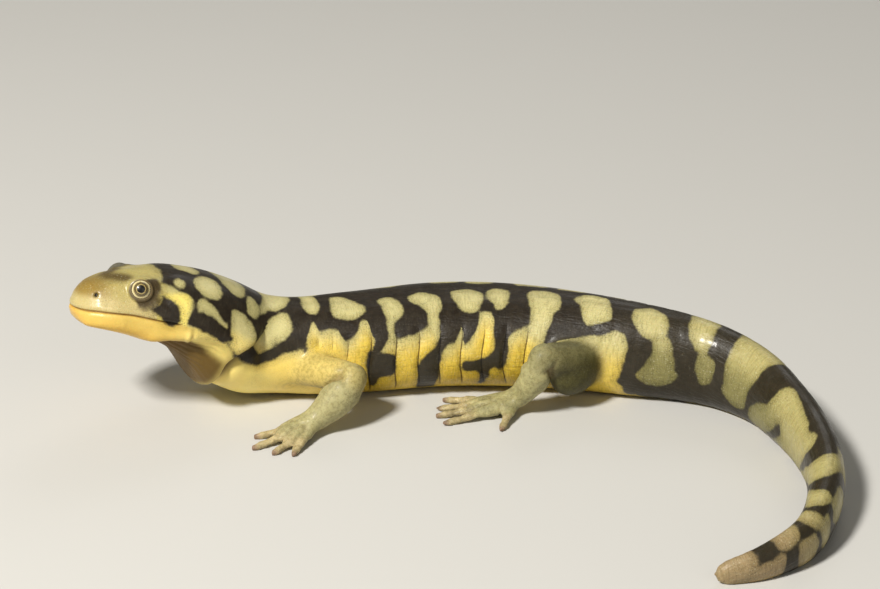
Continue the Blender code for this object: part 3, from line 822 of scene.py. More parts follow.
# markings: a corner is (along the body, out from the middle of the back), and the outlines are rounded off later
marks = {
    "pale": (
        ((20.3, -3), (24.5, -3), (24.2, 1), (23.8, 3), (22.5, 3.5), (21, 2), (20.3, 0)),
        ((22.3, 5), (25, 3.9), (27, 5), (27.4, 9), (26, 10), (24, 9.5), (22, 7.5)),
        ((28, -3), (33, -2), (33.7, 3), (32.7, 6.5), (31, 7.8), (29.5, 7), (28, 4.5), (27.6, 0.5)),
        (
            (14.5, 8.5), (15, 6.4), (16.5, 6.8), (18, 8.0), (20.3, 9.5), (21.3, 10.9), (21.3, 13),
            (20.6, 14.6), (20.5, 16), (19.4, 16), (19.2, 13.8), (18.6, 12), (17.3, 10.3), (15.5, 9.2),
        ),
        ((22.3, 10.7), (23.5, 10.1), (25.3, 11.5), (27, 13.5), (30, 15.6), (26, 14.8), (23.8, 13.4), (22.4, 12.2)),
        (
            (30, 11.5), (32.5, 11), (34.8, 13), (35.7, 16), (35, 18.5), (32.5, 19.5), (30.5, 18), (30.5, 15),
            (29.7, 13),
        ),
        ((33.6, 6.5), (34.8, 6), (35.9, 9), (35, 11), (33.5, 10.5)),
        (
            (40, -5), (48.5, -5), (49, 1), (47.5, 3.5), (44, 4.7), (40, 6.5), (37.5, 8), (36, 9.5), (36.2, 7),
            (38, 3), (40, -1),
        ),
        (
            (36.5, 15.5), (37.5, 13.3), (40, 10.8), (45, 7), (47.5, 4.5), (49.2, 4.5), (49.9, 6.5), (49, 9.5),
            (46, 12.3), (42.5, 14.8), (39, 16),
        ),
        ((51.3, -4), (54, -4), (55.3, -0.5), (55.5, 2.5), (54.6, 4.7), (53.2, 4.5), (52, 2), (51.4, -1)),
        ((58.3, -1.3), (61.2, -0.9), (62.7, 1), (65.2, 3.5), (65, 6), (60, 6.9), (58, 5.2), (58.4, 2)),
        (
            (68.2, 1.7), (70.5, 1.1), (72, 2.5), (73.3, 4.8), (73.1, 6.8), (71, 8), (70.3, 9.5), (70.2, 13),
            (69.2, 13), (69.3, 8.5), (69.4, 6.5), (68.6, 4),
        ),
        (
            (75, 1.5), (77.5, 0.3), (79.5, 1.2), (81.8, 3), (82, 5.5), (81.1, 9), (81.2, 13), (78.6, 13),
            (78.8, 9.5), (78.9, 7), (78.2, 5.5), (75.5, 3.5),
        ),
        (
            (84.5, 0.2), (89, -0.5), (91, 1), (92.1, 3.5), (91.5, 5.5), (89.5, 7.5), (87, 6.9), (85.5, 4.5),
            (84.6, 2.5),
        ),
        (
            (92.8, -0.2), (95, -0.9), (97.5, -0.2), (98, 2.5), (97.3, 5.5), (96.3, 6.4), (95.2, 5.5),
            (94.7, 4.5), (92.8, 2.5),
        ),
        ((91, 8.3), (92.5, 7.2), (94.2, 7.4), (95, 9.5), (95.1, 13), (94, 17), (91, 17)),
        (
            (101.4, -0.7), (105, -1.4), (107.5, -1), (108.8, 0.5), (109.2, 3.5), (109, 5.2), (108.2, 8),
            (107.5, 11.5), (106.5, 14), (103, 12), (103.5, 8), (103.3, 5.3), (102, 2.5),
        ),
        (
            (111.8, -0.2), (114, -2.3), (116.5, -2.4), (119.3, -1.2), (121.2, 4.5), (120.5, 6.2), (117, 7.9),
            (115.5, 7.5), (114, 4), (112.5, 1),
        ),
        (
            (111.8, 12.9), (112.8, 11.5), (115, 10.9), (117.2, 10.2), (119.6, 9.6), (120.6, 10.8),
            (119.2, 12.8), (116.5, 13.6), (113.5, 13.8),
        ),
        (
            (120, 9.5), (122, 8.2), (124, 8.7), (124.8, 10), (125, 14), (124, 18), (123, 21), (121, 20),
            (120, 16), (118, 13.5), (119.2, 11.5),
        ),
        (
            (125.5, 3), (126.2, 0.5), (128, -1), (130.5, 0.7), (132.2, 3), (133.2, 5.3), (133, 7.8),
            (129, 8.6), (127.5, 7), (126.2, 4.7),
        ),
        (
            (130.8, 8), (133.3, 7), (135, 9), (136.2, 12), (136.5, 15), (134.5, 17.5), (130, 18.3),
            (127.5, 17), (129, 14.5), (130.5, 12), (131.2, 10),
        ),
        (
            (137.5, -7), (142, -7), (142.6, -2.8), (143.4, 1), (143, 4.5), (142.3, 8.5), (139.8, 8),
            (137.5, 5.5), (137, 2), (137, -2.8),
        ),
        ((141, 8), (145.5, 8.5), (146.3, 10.5), (145, 13.5), (142, 14), (140.5, 11.5)),
        (
            (148, -4.5), (160, -4), (159.5, 0), (159, 5), (158.5, 7.5), (156.5, 10.5), (156.5, 13),
            (153.5, 15), (149, 14), (149.3, 10.3), (148.2, 7), (148.5, 2), (148, -1.5),
        ),
        (
            (166.5, 4), (168, 1.5), (170, 0.9), (172, 1.5), (177, 2.7), (180, 2.7), (183, 4), (185.3, 2.3),
            (187, 2.5), (188, 4.5), (185.5, 8.5), (182.5, 11.3), (178.5, 13), (168, 15.5), (157, 17),
            (158, 12.5), (162, 9.5), (165.5, 8),
        ),
        (
            (190.5, -6), (193, -6), (196.5, -3), (199.5, -0.5), (200.8, 2), (199.5, 4.5), (195, 7.5),
            (190, 10), (182.5, 13), (180, 13.5), (186, 10.5), (192, 6.5), (193.8, 3.5), (193.5, 0),
            (191.5, -4),
        ),
        (
            (204.2, -2), (205.5, -3.2), (208, -1.5), (209.5, 0.5), (209.5, 2.5), (206.5, 4), (203, 6),
            (200, 6.5), (204.5, 3), (204.3, 0),
        ),
        ((210, -5), (214, -3.5), (215.5, 0), (214, 5), (211, 4), (211.5, 0)),
        ((217, -2), (220, -4), (222.5, -2), (222, 4), (216.5, 5)),
        ((226.5, -4), (231, -7), (236, -7), (236, 7), (229, 6), (227, 2)),
    ),
    "flankTop": (
        (22, 15.8), (25, 17), (28, 18.3), (31, 19), (33.5, 20.5), (36, 20.3), (38, 18.8), (41, 17), (45, 15.2),
        (48.5, 13.5), (51.5, 12.6), (52.2, 9.5), (53, 7.3), (53.8, 6.6), (54.8, 8.8), (56, 8.6), (58.7, 8.7),
        (59.8, 11.4), (62, 11), (63.1, 9), (64.4, 7.3), (65.4, 7.5), (65.9, 10), (66.2, 14.5), (67.4, 15.5),
        (68.4, 13), (69.3, 11.5), (70.5, 12.4), (72.5, 12), (76, 11), (79, 10.2), (80.6, 11.5), (81, 16.4),
        (82.5, 14.6),
        (85, 13.8), (86, 12), (86.6, 10.6), (87.2, 14.7), (88.5, 13.2), (90, 12), (91, 9.5), (92, 7.6), (94.4, 7.4),
        (95.1, 9.5), (95.5, 16), (97.8, 17), (98.2, 12.8), (99.5, 11.6), (102, 10.2), (105.5, 11), (107.5, 13.6),
        (110, 15), (114, 15.5), (118, 14.5), (124, 19), (130, 26), (140, 40),
    ),
    "darkPatches": (
        (
            (13.6, 8.6), (15.0, 8.6), (16.4, 9.4), (17.8, 10.6), (18.9, 12.1), (19.3, 13.6), (18.7, 14.8),
            (17.3, 14.5), (15.8, 13.0), (14.6, 11.8), (13.5, 10.4),
        ),
        (
            (65.2, 14.2), (67.5, 15.3), (70.3, 16.0), (70.7, 17.4), (70.6, 19.6), (70.1, 20.8), (68, 21),
            (66.9, 21), (66.4, 23), (65.2, 23.4), (65.0, 19.5), (65.1, 16.5),
        ),
        (
            (76.0, 18.6), (78.0, 16.2), (80.2, 14), (80.8, 13.8), (80.9, 17), (80.7, 21), (80.4, 24.5),
            (80.1, 27.5), (78, 27.7), (75.7, 27.5), (75.6, 24.5), (75.6, 21),
        ),
        (
            (87.0, 18.6), (89.2, 18.7), (91.4, 18.8), (93.4, 17.2), (95.0, 15.8), (95.6, 12), (95.5, 9.5),
            (97.6, 9.5), (98, 13), (98, 16), (97.9, 19), (96, 21), (93.2, 23), (92.6, 26), (91.4, 26),
            (90.6, 23), (89.4, 21.6), (87, 21.2),
        ),
    ),
    # strokes are (along, out, half width) from point to point
    "paleStrokes": (
        ((18.8, 6.5, 0.95), (19.1, 6.7, 0.95)),
    ),
    "darkStrokes": (
        (
            (21.9, 11.6, 0.35), (21.8, 14.2, 0.9), (23.1, 14.2, 1.5), (25, 15.1, 1.6), (28.6, 16.9, 1.3),
            (30.6, 17.3, 0.6),
        ),
        ((36, 19, 1.1), (42, 15.8, 1.2), (46, 13.7, 1.1), (49.6, 10.6, 1.0)),
        ((50.3, -5, 0.9), (50.6, 2, 0.9), (50.8, 8, 1.0), (51.6, 13.5, 0.5)),
        ((66.6, 7, 0.6), (66.6, 12, 0.6), (66.8, 15, 0.8)),
        ((82.9, 8, 1.0), (82.2, 12, 0.7), (81.4, 15.5, 0.4)),
        ((171, 9.8, 0.7), (168, 12, 0.9), (165, 14.8, 0.7)),
        ((126, 10, 0.8), (126.4, 16, 0.8), (126, 22, 1.2)),
    ),
    "yellowSpots": (((89.5, 23.5, 2.0), (89.6, 24, 2.0)), ((95, 21.5, 1.4), (96.3, 25, 1.8))),
    # the head is pale in front of this line, which is (out, along)
    "headEdge": (
        (-4, 16.3), (3, 16.2), (5, 15.8), (7, 15), (9, 14.4), (10.5, 15.2), (12, 17.5), (14, 19), (16, 24),
    ),
    "rightShift": 4.6, "midline": 4.4,
}
farAway = 50.0  # the distance that stands for no mark near


def roundedOff(corners):
    # each corner is cut twice, which leaves a soft outline
    for _ in range(2):
        ends = zip(corners, corners[1:] + corners[:1])
        corners = tuple(
            (a[0] + (b[0] - a[0]) * t, a[1] + (b[1] - a[1]) * t) for a, b in ends for t in (0.25, 0.75)
        )
    return corners


def nearBox(at, out, corners, reach=4.0):
    places, outs = [corner[0] for corner in corners], [corner[1] for corner in corners]
    return np.flatnonzero(
        (at > min(places) - reach) & (at < max(places) + reach) & (out > min(outs) - reach) & (out < max(outs) + reach)
    )


def toSegment(at, out, start, end):
    # how far along a straight segment the nearest place is, from 0 to 1, and the distance to it
    run = np.array([end[0] - start[0], end[1] - start[1]])
    t = (((at - start[0]) * run[0] + (out - start[1]) * run[1]) / (run @ run)).clip(0, 1)
    return t, np.hypot(at - start[0] - t * run[0], out - start[1] - t * run[1])


def insidePatch(at, out, corners, grown=0.22):
    # signed distance to a rounded outline, negative inside
    corners = roundedOff(corners)
    close = nearBox(at, out, corners)
    allGaps = np.full(len(at), 1e3)
    at, out = at[close], out[close]
    gap = np.full(len(at), 1e3)
    crossings = np.zeros(len(at), bool)
    for (a0, b0), (a1, b1) in zip(corners, corners[1:] + corners[:1]):
        gap = np.minimum(gap, toSegment(at, out, (a0, b0), (a1, b1))[1])
        if b0 != b1:
            crossings ^= ((b0 > out) != (b1 > out)) & (at < a0 + (out - b0) * (a1 - a0) / (b1 - b0))
    allGaps[close] = np.where(crossings, -gap, gap) - grown
    return allGaps


def insideStroke(at, out, stroke):
    gap = np.full(len(at), 1e9)
    for start, end in zip(stroke, stroke[1:]):
        t, distance = toSegment(at, out, start, end)
        gap = np.minimum(gap, distance - (start[2] + (end[2] - start[2]) * t))
    return gap


def joined(first, second, soft):
    # the lesser of two signed distances, blended where they are about equal
    t = np.clip(0.5 + 0.5 * (second - first) / soft, 0, 1)
    return second + (first - second) * t - soft * t * (1 - t)


def paleGap(at, out):
    gap = np.full(len(at), farAway)
    for corners in marks["pale"]:
        gap = joined(gap, insidePatch(at, out, corners), 0.5)
    flank = np.interp(at, *np.transpose(marks["flankTop"]))
    gap = joined(gap, np.where(at > 19, (flank - out) * 0.75, farAway), 0.8)
    headEdge = np.interp(out, *np.transpose(marks["headEdge"]))
    gap = joined(gap, (at - headEdge) * 0.9, 0.3)
    for corners in marks["darkPatches"]:
        gap = -joined(-gap, insidePatch(at, out, corners), 0.4)
    for stroke in marks["darkStrokes"]:
        gap = -joined(-gap, insideStroke(at, out, stroke), 0.4)
    for stroke in marks["paleStrokes"] + marks["yellowSpots"]:
        gap = joined(gap, insideStroke(at, out, stroke), 0.3)
    return gap


calm = 0.5 + 0.5 * ease(22, 32, at)
warpAt = 0.4 * calm * wobble(points, 2.2, 1) + 0.8 * wobble(points, 7, 2) * ease(30, 50, at)
warpOut = 0.4 * calm * wobble(points, 2.2, 3) + 0.5 * wobble(points, 7, 4) * ease(30, 50, at)
leftAt, leftOut = at + warpAt * (arc > -6), arc + warpOut
trunkOnly = ease(26, 48, at)
# the right side has the same marks, slid along the body by a share that wanders
slide = trunkOnly * (marks["rightShift"] + 1.6 * np.sin(at * 0.11 + 1) + 1.1 * np.sin(at * 0.23))
rightAt = at + slide + 1.4 * warpAt
rightOut = -arc - marks["midline"] * trunkOnly + 1.3 * warpOut
overRidge = (-0.8 - rightOut) * trunkOnly - 9 * (1 - trunkOnly)
pale = -joined(
    np.where(arc > -7, np.maximum(paleGap(leftAt, leftOut), -6 - arc), farAway),
    np.where(arc < 2, np.maximum(paleGap(rightAt, rightOut), overRidge), farAway), 0.4,
)
print("marks placed")

# colours of each region, which the material mixes along the marks' edges
colours = {
    "dorsal": (0.60, 0.54, 0.25), "headTop": (0.50, 0.42, 0.15), "snout": (0.30, 0.20, 0.045),
    "lip": (0.54, 0.44, 0.19), "jaw": (0.69, 0.49, 0.115), "crescent": (0.92, 0.76, 0.20),
    "jowl": (0.88, 0.71, 0.23), "flankLow": (0.64, 0.44, 0.035),
    # the brightest chest yellow is painted light on the chest just behind the throat's fold
    "flank": (0.82, 0.59, 0.075), "chest": (0.90, 0.68, 0.17), "breast": (0.98, 0.80, 0.25),
    "tail": (0.44, 0.385, 0.155),
    # the jaw edge colour is painted shade: orange-brown along the lower edge of the jaw
    # the throat's colour is a dusky brown, darkened further as painted shade where it lies under the jaw
    "throat": (0.095, 0.045, 0.004), "jawEdge": (0.74, 0.43, 0.06), "browBar": (0.115, 0.078, 0.022),
    # the tail side colour is painted shade: a darker olive on the lower side of the tail's front half
    "tailSide": (0.22, 0.20, 0.070), "tailEnd": (0.34, 0.25, 0.13), "belly": (0.50, 0.35, 0.06),
    "upperArm": (0.62, 0.48, 0.14), "forearm": (0.42, 0.38, 0.185), "digits": (0.50, 0.40, 0.21),
    "digitTips": (0.20, 0.105, 0.085), "thigh": (0.070, 0.062, 0.016), "shank": (0.41, 0.375, 0.18),
    "lid": (0.060, 0.038, 0.016), "lidRim": (0.22, 0.16, 0.07), "lidTop": (0.17, 0.165, 0.125),
    "dark": (0.015, 0.010, 0.005), "darkFlank": (0.025, 0.020, 0.010), "darkTail": (0.021, 0.016, 0.007),
    # the fold colour is painted shade, laid in the creases and behind the throat's fold
    "fold": (0.13, 0.07, 0.02), "mouth": (0.26, 0.115, 0.025), "nostril": (0.01, 0.007, 0.005),
}


def tint(colour, name, share):
    share = np.clip(share, 0, 1)[:, None]
    return colour * (1 - share) + np.array(colours[name]) * share


lower = ease(0.9, 1.5, turn)  # 0 on the back, 1 on the lower side
under = ease(2.35, 2.75, turn)
overMouth = mouthGap(points)[0]
flankTop = np.interp(at, *np.transpose(marks["flankTop"]))
tailLow = 2 * ease(135, 145, at)
belowJaw = side - 2.4 * ease(22, 29, at)
brow = alongLine((6.8, 1.0, 6.8), (9.3, 3.9, 7.2), 1.75)
paleColour = np.tile(colours["dorsal"], (len(points), 1))
for name, share in (
    ("tail", ease(118, 150, at)),
    # painted shade: the lower side of the tail's front half is darkened, reaching higher from about 140 mm along
    ("tailSide", 0.9 * within(124, 129, 160, 185, at) * ease(7 - tailLow, 12 - tailLow, side)),
    ("tailEnd", ease(205, 224, at)),
    ("flank", ease(-0.5, 5.5, side - flankTop + 0.8 * warpOut) * (at > 19) * fades(118, 132, at)),
    ("flank", 0.75 * ease(17, 21, side) * fades(112, 124, at) * (at > 19)),
    ("chest", within(36, 40, 56, 64, at) * ease(12, 16, side)),
    # painted light: the chest just behind the throat's fold is brightened
    ("breast", hump(at, 42, 5) * ease(16, 19, side)),
    ("headTop", fades(15, 18, at + 0.4 * warpAt)),
    ("snout", fades(3, 9, at) * (rise > 1.5)),
    ("lip", fades(18, 23, at) * fades(2.0, 3.6, overMouth)),
    ("jaw", ease(0.25, -0.25, overMouth) * (at < 26)),
    ("jowl", 0.85 * ease(18, 24, at) * (at < 38) * ease(14.5, 17, side)),
    ("browBar", 1.35 * brow * fades(10.2, 11, at)),
    # painted shade: the lower edge of the jaw is darkened to orange-brown
    ("jawEdge", 0.7 * ease(1.75, 2.2, turn) * (at < 22)),
    # a dusky throat, darkened further as painted shade under the jaw
    ("throat", 0.94 * ease(13, 18, at) * ease(19.2, 21.6, belowJaw) * fades(-1.5, 0.5, fold)),
    ("crescent", ease(14.4, 15.4, at) * (at < 21) * ease(8.2, 9.2, side) * (overMouth > 0)),
    ("flank", 0.8 * within(119, 121, 126, 128, at) * ease(10, 17, side)),
    ("flankLow", 0.75 * ease(1.5, 2.1, turn) * within(54, 60, 112, 118, at)),
    ("belly", 0.6 * under * ease(40, 60, at)),
):
    paleColour = tint(paleColour, name, share)
speckle = 1 - 0.75 * ease(0.2, -0.2, overMouth) * fades(20, 28, at)
speckle -= 0.5 * within(34, 38, 54, 60, at) * ease(13, 16, side)
speckle = np.minimum(speckle, 1 - 0.85 * ease(18.5, 20, side) * (at < 40))
darkColour = np.tile(colours["dark"], (len(points), 1))
darkColour = tint(darkColour, "darkFlank", lower * ease(34, 50, at))
darkColour = tint(darkColour, "darkTail", ease(112, 135, at))

# the belly is clouded with dusky marks, and the throat stays clean
cloud = wobble(points, 5.5, 6) + 0.5 * wobble(points, 2.6, 7)
pale = pale * (1 - under) + under * (1.4 * (cloud + 0.25) + 2.2 * fades(34, 52, at))

dryness = 0.7 * ease(19, 21, side) * (at < 36)
limbShare = np.zeros(len(points))
# each limb has its own colours, from the shoulder or hip to the tips of the toes, with painted shade on the rear of
# the forearm or shank next to the elbow or knee
mottle = 0.5 * wobble(points, 1.5, 8) + 0.3 * wobble(points, 0.8, 9)
limbColours = {
    "Arm": {"upper": "upperArm", "lower": "forearm", "rearShade": 0.75, "mottle": 0.3, "edge": (-0.9, 1.2)},
    "Leg": {"upper": "thigh", "lower": "shank", "rearShade": 0.35, "mottle": 0.75, "edge": (-0.3, 0.4)},
}
for name, spec, _ in limbs:
    limb = onEachLimb[name]
    look = limbColours[name[-3:]]  # a limb's name ends in Arm or Leg
    wrist, digit = limb["bends"][1], limb["digitShare"]
    closest = np.minimum.reduce([limb["gap"], limb["digitGap"], limb["thighGap"]])
    own = ease(*look["edge"], np.maximum(onTrunk["gap"], 0) - closest + 0.3 * warpOut)
    own *= (closest < 2.5) & (at > 36)
    nearDigit = limb["digitGap"] < 0.7
    rear = ease(-0.2, 1.0, (points[:, 0] - spec["path"][2][0]) / 3) * limb["lower"]
    colour = np.tile(colours[look["upper"]], (len(points), 1))
    for part, share in (
        (look["lower"], limb["lower"]),
        ("shank", 0.3 * ease(11, 14, points[:, 2]) * (look["upper"] == "thigh")),
        # painted shade: the rear of the forearm or shank, next to the elbow or knee, takes the thigh's dark colour
        ("thigh", look["rearShade"] * rear * fades(wrist - 1, wrist + 2, limb["along"])),
        ("digits", 0.8 * nearDigit * ease(0.2, 0.5, digit)),
        ("digitTips", 0.8 * nearDigit * ease(0.9, 1.0, digit + 0.03 * cloud)),
    ):
        colour = tint(colour, part, share)
    colour = colour * (1 + (0.12 * cloud + look["mottle"] * mottle)[:, None]).clip(0.4, 1.8)
    paleColour = paleColour * (1 - own[:, None]) + colour * own[:, None]
    darkColour = darkColour * (1 - own[:, None]) + colour * 0.35 * own[:, None]
    pale = pale * (1 - own) + own * (1.6 + 0.5 * cloud)
    dryness = np.maximum(dryness, 0.8 * own)
    limbShare = np.maximum(limbShare, own)

for _ in range(3):
    paleColour, darkColour = neighbourMean(paleColour, edges), neighbourMean(darkColour, edges)
for sign in bothSides:
    x, y, z, _ = inEye(points, sign)
    x *= -sign
    ring = np.hypot(x, y * eye["opening"][0] / eye["opening"][1])
    gap = np.where((z > -2.5) & (ring < 6), ring - eye["opening"][0], 9.0)
    # the dark ring is thin above the left eye, grey and broad over the right one, and wide behind both
    above = ease(0.3, -1.2, y) * (sign < 0)
    wide = 0.1 + 0.6 * ease(-1.5, 2, y) + 2.1 * ease(0, 1, (x + 0.25 * y + 0.5) / 3) + 0.2 * cloud + 1.1 * above
    for name, share in (
        ("lid", 0.96 * ease(-0.45, 0.35, wide - gap)), ("lidTop", 0.7 * ease(-0.2, 0.4, wide - gap) * above),
        ("lidRim", 0.5 * hump(gap, 0.16, 0.14)),
    ):
        paleColour = tint(paleColour, name, share)
    dryness = np.maximum(dryness, 0.75 * ease(-0.5, 0.3, wide - gap))
    pale = np.where(gap < wide + 1.2, np.maximum(pale, wide - gap), pale)
# painted shade darkens the creases and the fold behind the throat; the mouth line and the nostrils are darkened too,
# and dark skin takes the near-black nostril colour under all of them
for name, share in (
    ("fold", np.maximum(0.6 * creaseShade, 0.92 * foldShadow)), ("mouth", 0.85 * mouth), ("nostril", 1.5 * nostril),
):
    paleColour = tint(paleColour, name, share)
    darkColour = tint(darkColour, "nostril", 0.6 * np.clip(share, 0, 1))
print("colours laid out")


def keepValues(mesh, name, values):
    # a number, a place or, with four columns, a colour for each point
    kind, field = {1: ("FLOAT", "value"), 3: ("FLOAT_VECTOR", "vector"), 4: ("FLOAT_COLOR", "color")}[
        1 if values.ndim == 1 else values.shape[1]
    ]
    kept = mesh.attributes.new(name, kind, "POINT")
    kept.data.foreach_set(field, values.astype(np.float32).ravel())


def finishPiece(name, points, mesh, nodes, material):
    # places are kept in the mesh, in metres, and the object stays at the origin
    mesh.vertices.foreach_set("co", ((points + shift) * mm).ravel())
    mesh.update()
    mesh.shade_smooth()
    mesh.materials.clear()
    mesh.materials.append(material)
    piece = addObject(name, mesh)
    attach(piece, "root")
    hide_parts(*nodes)


class Value:
    # one output in a material's nodes; sums and products of these add Math nodes
    def __init__(self, tree, socket=None):
        self.tree, self.socket = tree, socket

    def node(self, kind, settings=None, values=None, output=0):
        made = self.tree.nodes.new(kind)
        for key, setting in (settings or {}).items():
            if key == "stops":
                stops = made.color_ramp.elements
                stops[0].position, stops[1].position = setting[0][0], setting[-1][0]
                stops[0].color, stops[1].color = (*setting[0][1], 1), (*setting[-1][1], 1)
                for place, colour in setting[1:-1]:
                    stops.new(place).color = (*colour, 1)
            else:
                setattr(made, key, setting)
        for key, value in (values or {}).items():
            if isinstance(value, Value):
                self.tree.links.new(value.socket, made.inputs[key])
            else:
                made.inputs[key].default_value = value
        return Value(self.tree, made.outputs[output])

    def maths(self, operation, *values):
        return self.node("ShaderNodeMath", {"operation": operation}, dict(enumerate(values)))

    def __add__(self, other):
        return self.maths("ADD", self, other)

    def __radd__(self, other):
        return self.maths("ADD", other, self)

    def __sub__(self, other):
        return self.maths("SUBTRACT", self, other)

    def __rsub__(self, other):
        return self.maths("SUBTRACT", other, self)

    def __mul__(self, other):
        return self.maths("MULTIPLY", self, other)

    def __rmul__(self, other):
        return self.maths("MULTIPLY", other, self)

    def between(self, low, high):
        # 0 below low, 1 above high, eased between
        return self.node(
            "ShaderNodeMapRange", {"interpolation_type": "SMOOTHSTEP"},
            {"Value": self, "From Min": low, "From Max": high},
        )

    def kept(self, name, output="Fac"):
        return self.node("ShaderNodeAttribute", {"attribute_name": name}, output=output)

    def noise(self, place, scale, detail=2.0, roughness=0.5):
        return self.node(
            "ShaderNodeTexNoise", None, {"Vector": place, "Scale": scale, "Detail": detail, "Roughness": roughness}
        )

    def cloud(self, place, size, detail=2.0, roughness=0.5):
        # noise with lumps of this many millimetres
        return self.noise(place, 1 / (size * mm), detail, roughness)

    def mixed(self, share, first, second, blend="MIX"):
        def colour(value):
            return value if isinstance(value, Value) else (*value, 1)

        made = {"Factor": share, 6: colour(first), 7: colour(second)}
        return self.node("ShaderNodeMix", {"data_type": "RGBA", "blend_type": blend}, made, 2)


def startMaterial(name, fixed):
    # constants go on the shader's own sockets
    material = bpy.data.materials.new(name)
    material.use_nodes = True
    shader = material.node_tree.nodes["Principled BSDF"]
    for key, value in fixed.items():
        shader.inputs[key].default_value = value
    return material, shader, Value(material.node_tree)


def connect(here, shader, links):
    for key, value in links.items():
        here.tree.links.new(value.socket, shader.inputs[key])


skinLook = {
    "edgeBlur": 0.34, "edgeRagged": 0.5,
    "stipple": 0.42, "pores": 0.42, "bump": 0.75, "bumpHeight": 0.08,
    "roughness": (0.36, 0.6), "wet": (0.05, 0.34),
    "streaks": (2.6, 0.45), "creases": (0.32, 1.5),  # how often along the body and round it, per millimetre
    # what darkens pale skin
    "stippleShade": (0.20, 0.18, 0.15), "lumpShade": (0.84, 0.86, 0.82), "edgeShade": (0.55, 0.54, 0.42),
    "streakShade": (0.50, 0.48, 0.38), "limbShade": (0.52, 0.50, 0.40), "paintedGrooveShade": (0.14, 0.10, 0.06),
    # what lies over it and over dark skin
    "paleGrain": (0.86, 0.82, 0.60), "darkLump": (0.050, 0.038, 0.022), "darkFleck": (0.22, 0.20, 0.12),
    "darkStreak": (0.070, 0.060, 0.040),
}


def skinMaterial():
    material, shader, here = startMaterial("moistSkin", {
        "IOR": 1.37, "Coat Roughness": 0.16, "Coat IOR": 1.36,
        "Subsurface Weight": 0.08, "Subsurface Radius": (1.0, 0.45, 0.18), "Subsurface Scale": 0.0012,
    })
    place = here.node("ShaderNodeTexCoord", output="Object")
    onSkin = here.kept("skinPlace", "Vector")

    def drawnOut(along, around):
        # noise that repeats so often along the body and round it
        stretched = here.node("ShaderNodeVectorMath", {"operation": "MULTIPLY"}, {0: onSkin, 1: (along, around, 1)})
        return here.noise(stretched, 1.0, 3.0)

    streaks = drawnOut(*skinLook["streaks"])
    wrinkles = drawnOut(*skinLook["creases"])
    edge = here.kept("paleEdge")
    grain = here.cloud(place, 0.55, 3.0, 0.6)
    lumps = here.cloud(place, 1.6)
    broad = here.cloud(place, 7.0)
    border = edge + (grain - 0.5) * skinLook["edgeRagged"] + (lumps - 0.5) * 0.5
    pale = border.between(-skinLook["edgeBlur"], skinLook["edgeBlur"] + 0.04)
    # pale skin: fine dusky stipple, thickest near the edges of the marks
    dots = here.cloud(place, 0.2, 1.0).between(0.5, 0.72)
    nearEdge = 1 - edge.between(0.2, 1.8)
    speckle = here.kept("speckle")
    stipple = dots * (nearEdge * 0.5 + broad.between(0.35, 0.7) * 0.35 + 0.2) * skinLook["stipple"] * 2 * speckle
    limbMottle = here.cloud(place, 0.8, 4.0, 0.65).between(0.42, 0.62) * here.kept("limbShare") * 0.5
    paleSkin = here.kept("paleColour", "Color")
    for share, shade in (
        (stipple, "stippleShade"), (lumps.between(0.35, 0.75) * 0.3, "lumpShade"), (nearEdge * 0.5, "edgeShade"),
        (streaks.between(0.42, 0.7) * 0.45 * here.kept("streaky"), "streakShade"), (limbMottle, "limbShade"),
    ):
        paleSkin = here.mixed(share, paleSkin, skinLook[shade], "MULTIPLY")
    grains = here.cloud(place, 0.32, 1.0).between(0.6, 0.75) * (1 - here.kept("dryness")) * speckle * 0.22
    paleSkin = here.mixed(grains, paleSkin, skinLook["paleGrain"])
    # dark skin: soft brown clouding and a few pale grains
    darkSkin = here.kept("darkColour", "Color")
    darkSkin = here.mixed(lumps.between(0.3, 0.8) * 0.35, darkSkin, skinLook["darkLump"])
    fleck = here.cloud(place, 0.28, 1.0).between(0.66, 0.78) * broad.between(0.4, 0.75)
    darkSkin = here.mixed(fleck * 0.4, darkSkin, skinLook["darkFleck"])
    darkSkin = here.mixed(streaks.between(0.5, 0.75) * 0.22, darkSkin, skinLook["darkStreak"])
    colour = here.mixed(pale, darkSkin, paleSkin)
    pores = here.node(
        "ShaderNodeTexVoronoi", {"feature": "SMOOTH_F1"}, {"Vector": place, "Scale": 1 / (skinLook["pores"] * mm)}
    )
    height = pores * 0.5 + grain * 0.5 + here.cloud(place, 2.6) * 0.9
    height = height + wrinkles.between(0.3, 0.6) * here.kept("streaky") * 0.8
    # painted shade: a thin dark line at the bottom of each groove down the flank
    line = here.kept("grooveLine")
    line = (1 - here.maths("ABSOLUTE", line + (grain - 0.5) * 0.2).between(0.05, 0.26)) * here.kept("grooveShare")
    colour = here.mixed(line * 0.9, colour, skinLook["paintedGrooveShade"], "MULTIPLY")
    bump = here.node(
        "ShaderNodeBump", None,
        {"Strength": skinLook["bump"], "Distance": skinLook["bumpHeight"] * mm, "Height": height}, "Normal",
    )
    low, high = skinLook["roughness"]
    rough = broad.between(0.3, 0.7) * (high - low) * 0.6 + grain.between(0.3, 0.8) * (high - low) * 0.4 + low
    rough = rough + here.kept("dryness") * 0.14
    dry, wet = skinLook["wet"]
    film = here.cloud(place, 11.0, 1.0).between(0.42, 0.62) * (wet - dry)
    film = film * (1 - here.kept("dryness")) + dry
    connect(here, shader, {"Base Color": colour, "Normal": bump, "Roughness": rough, "Coat Weight": film})
    return material


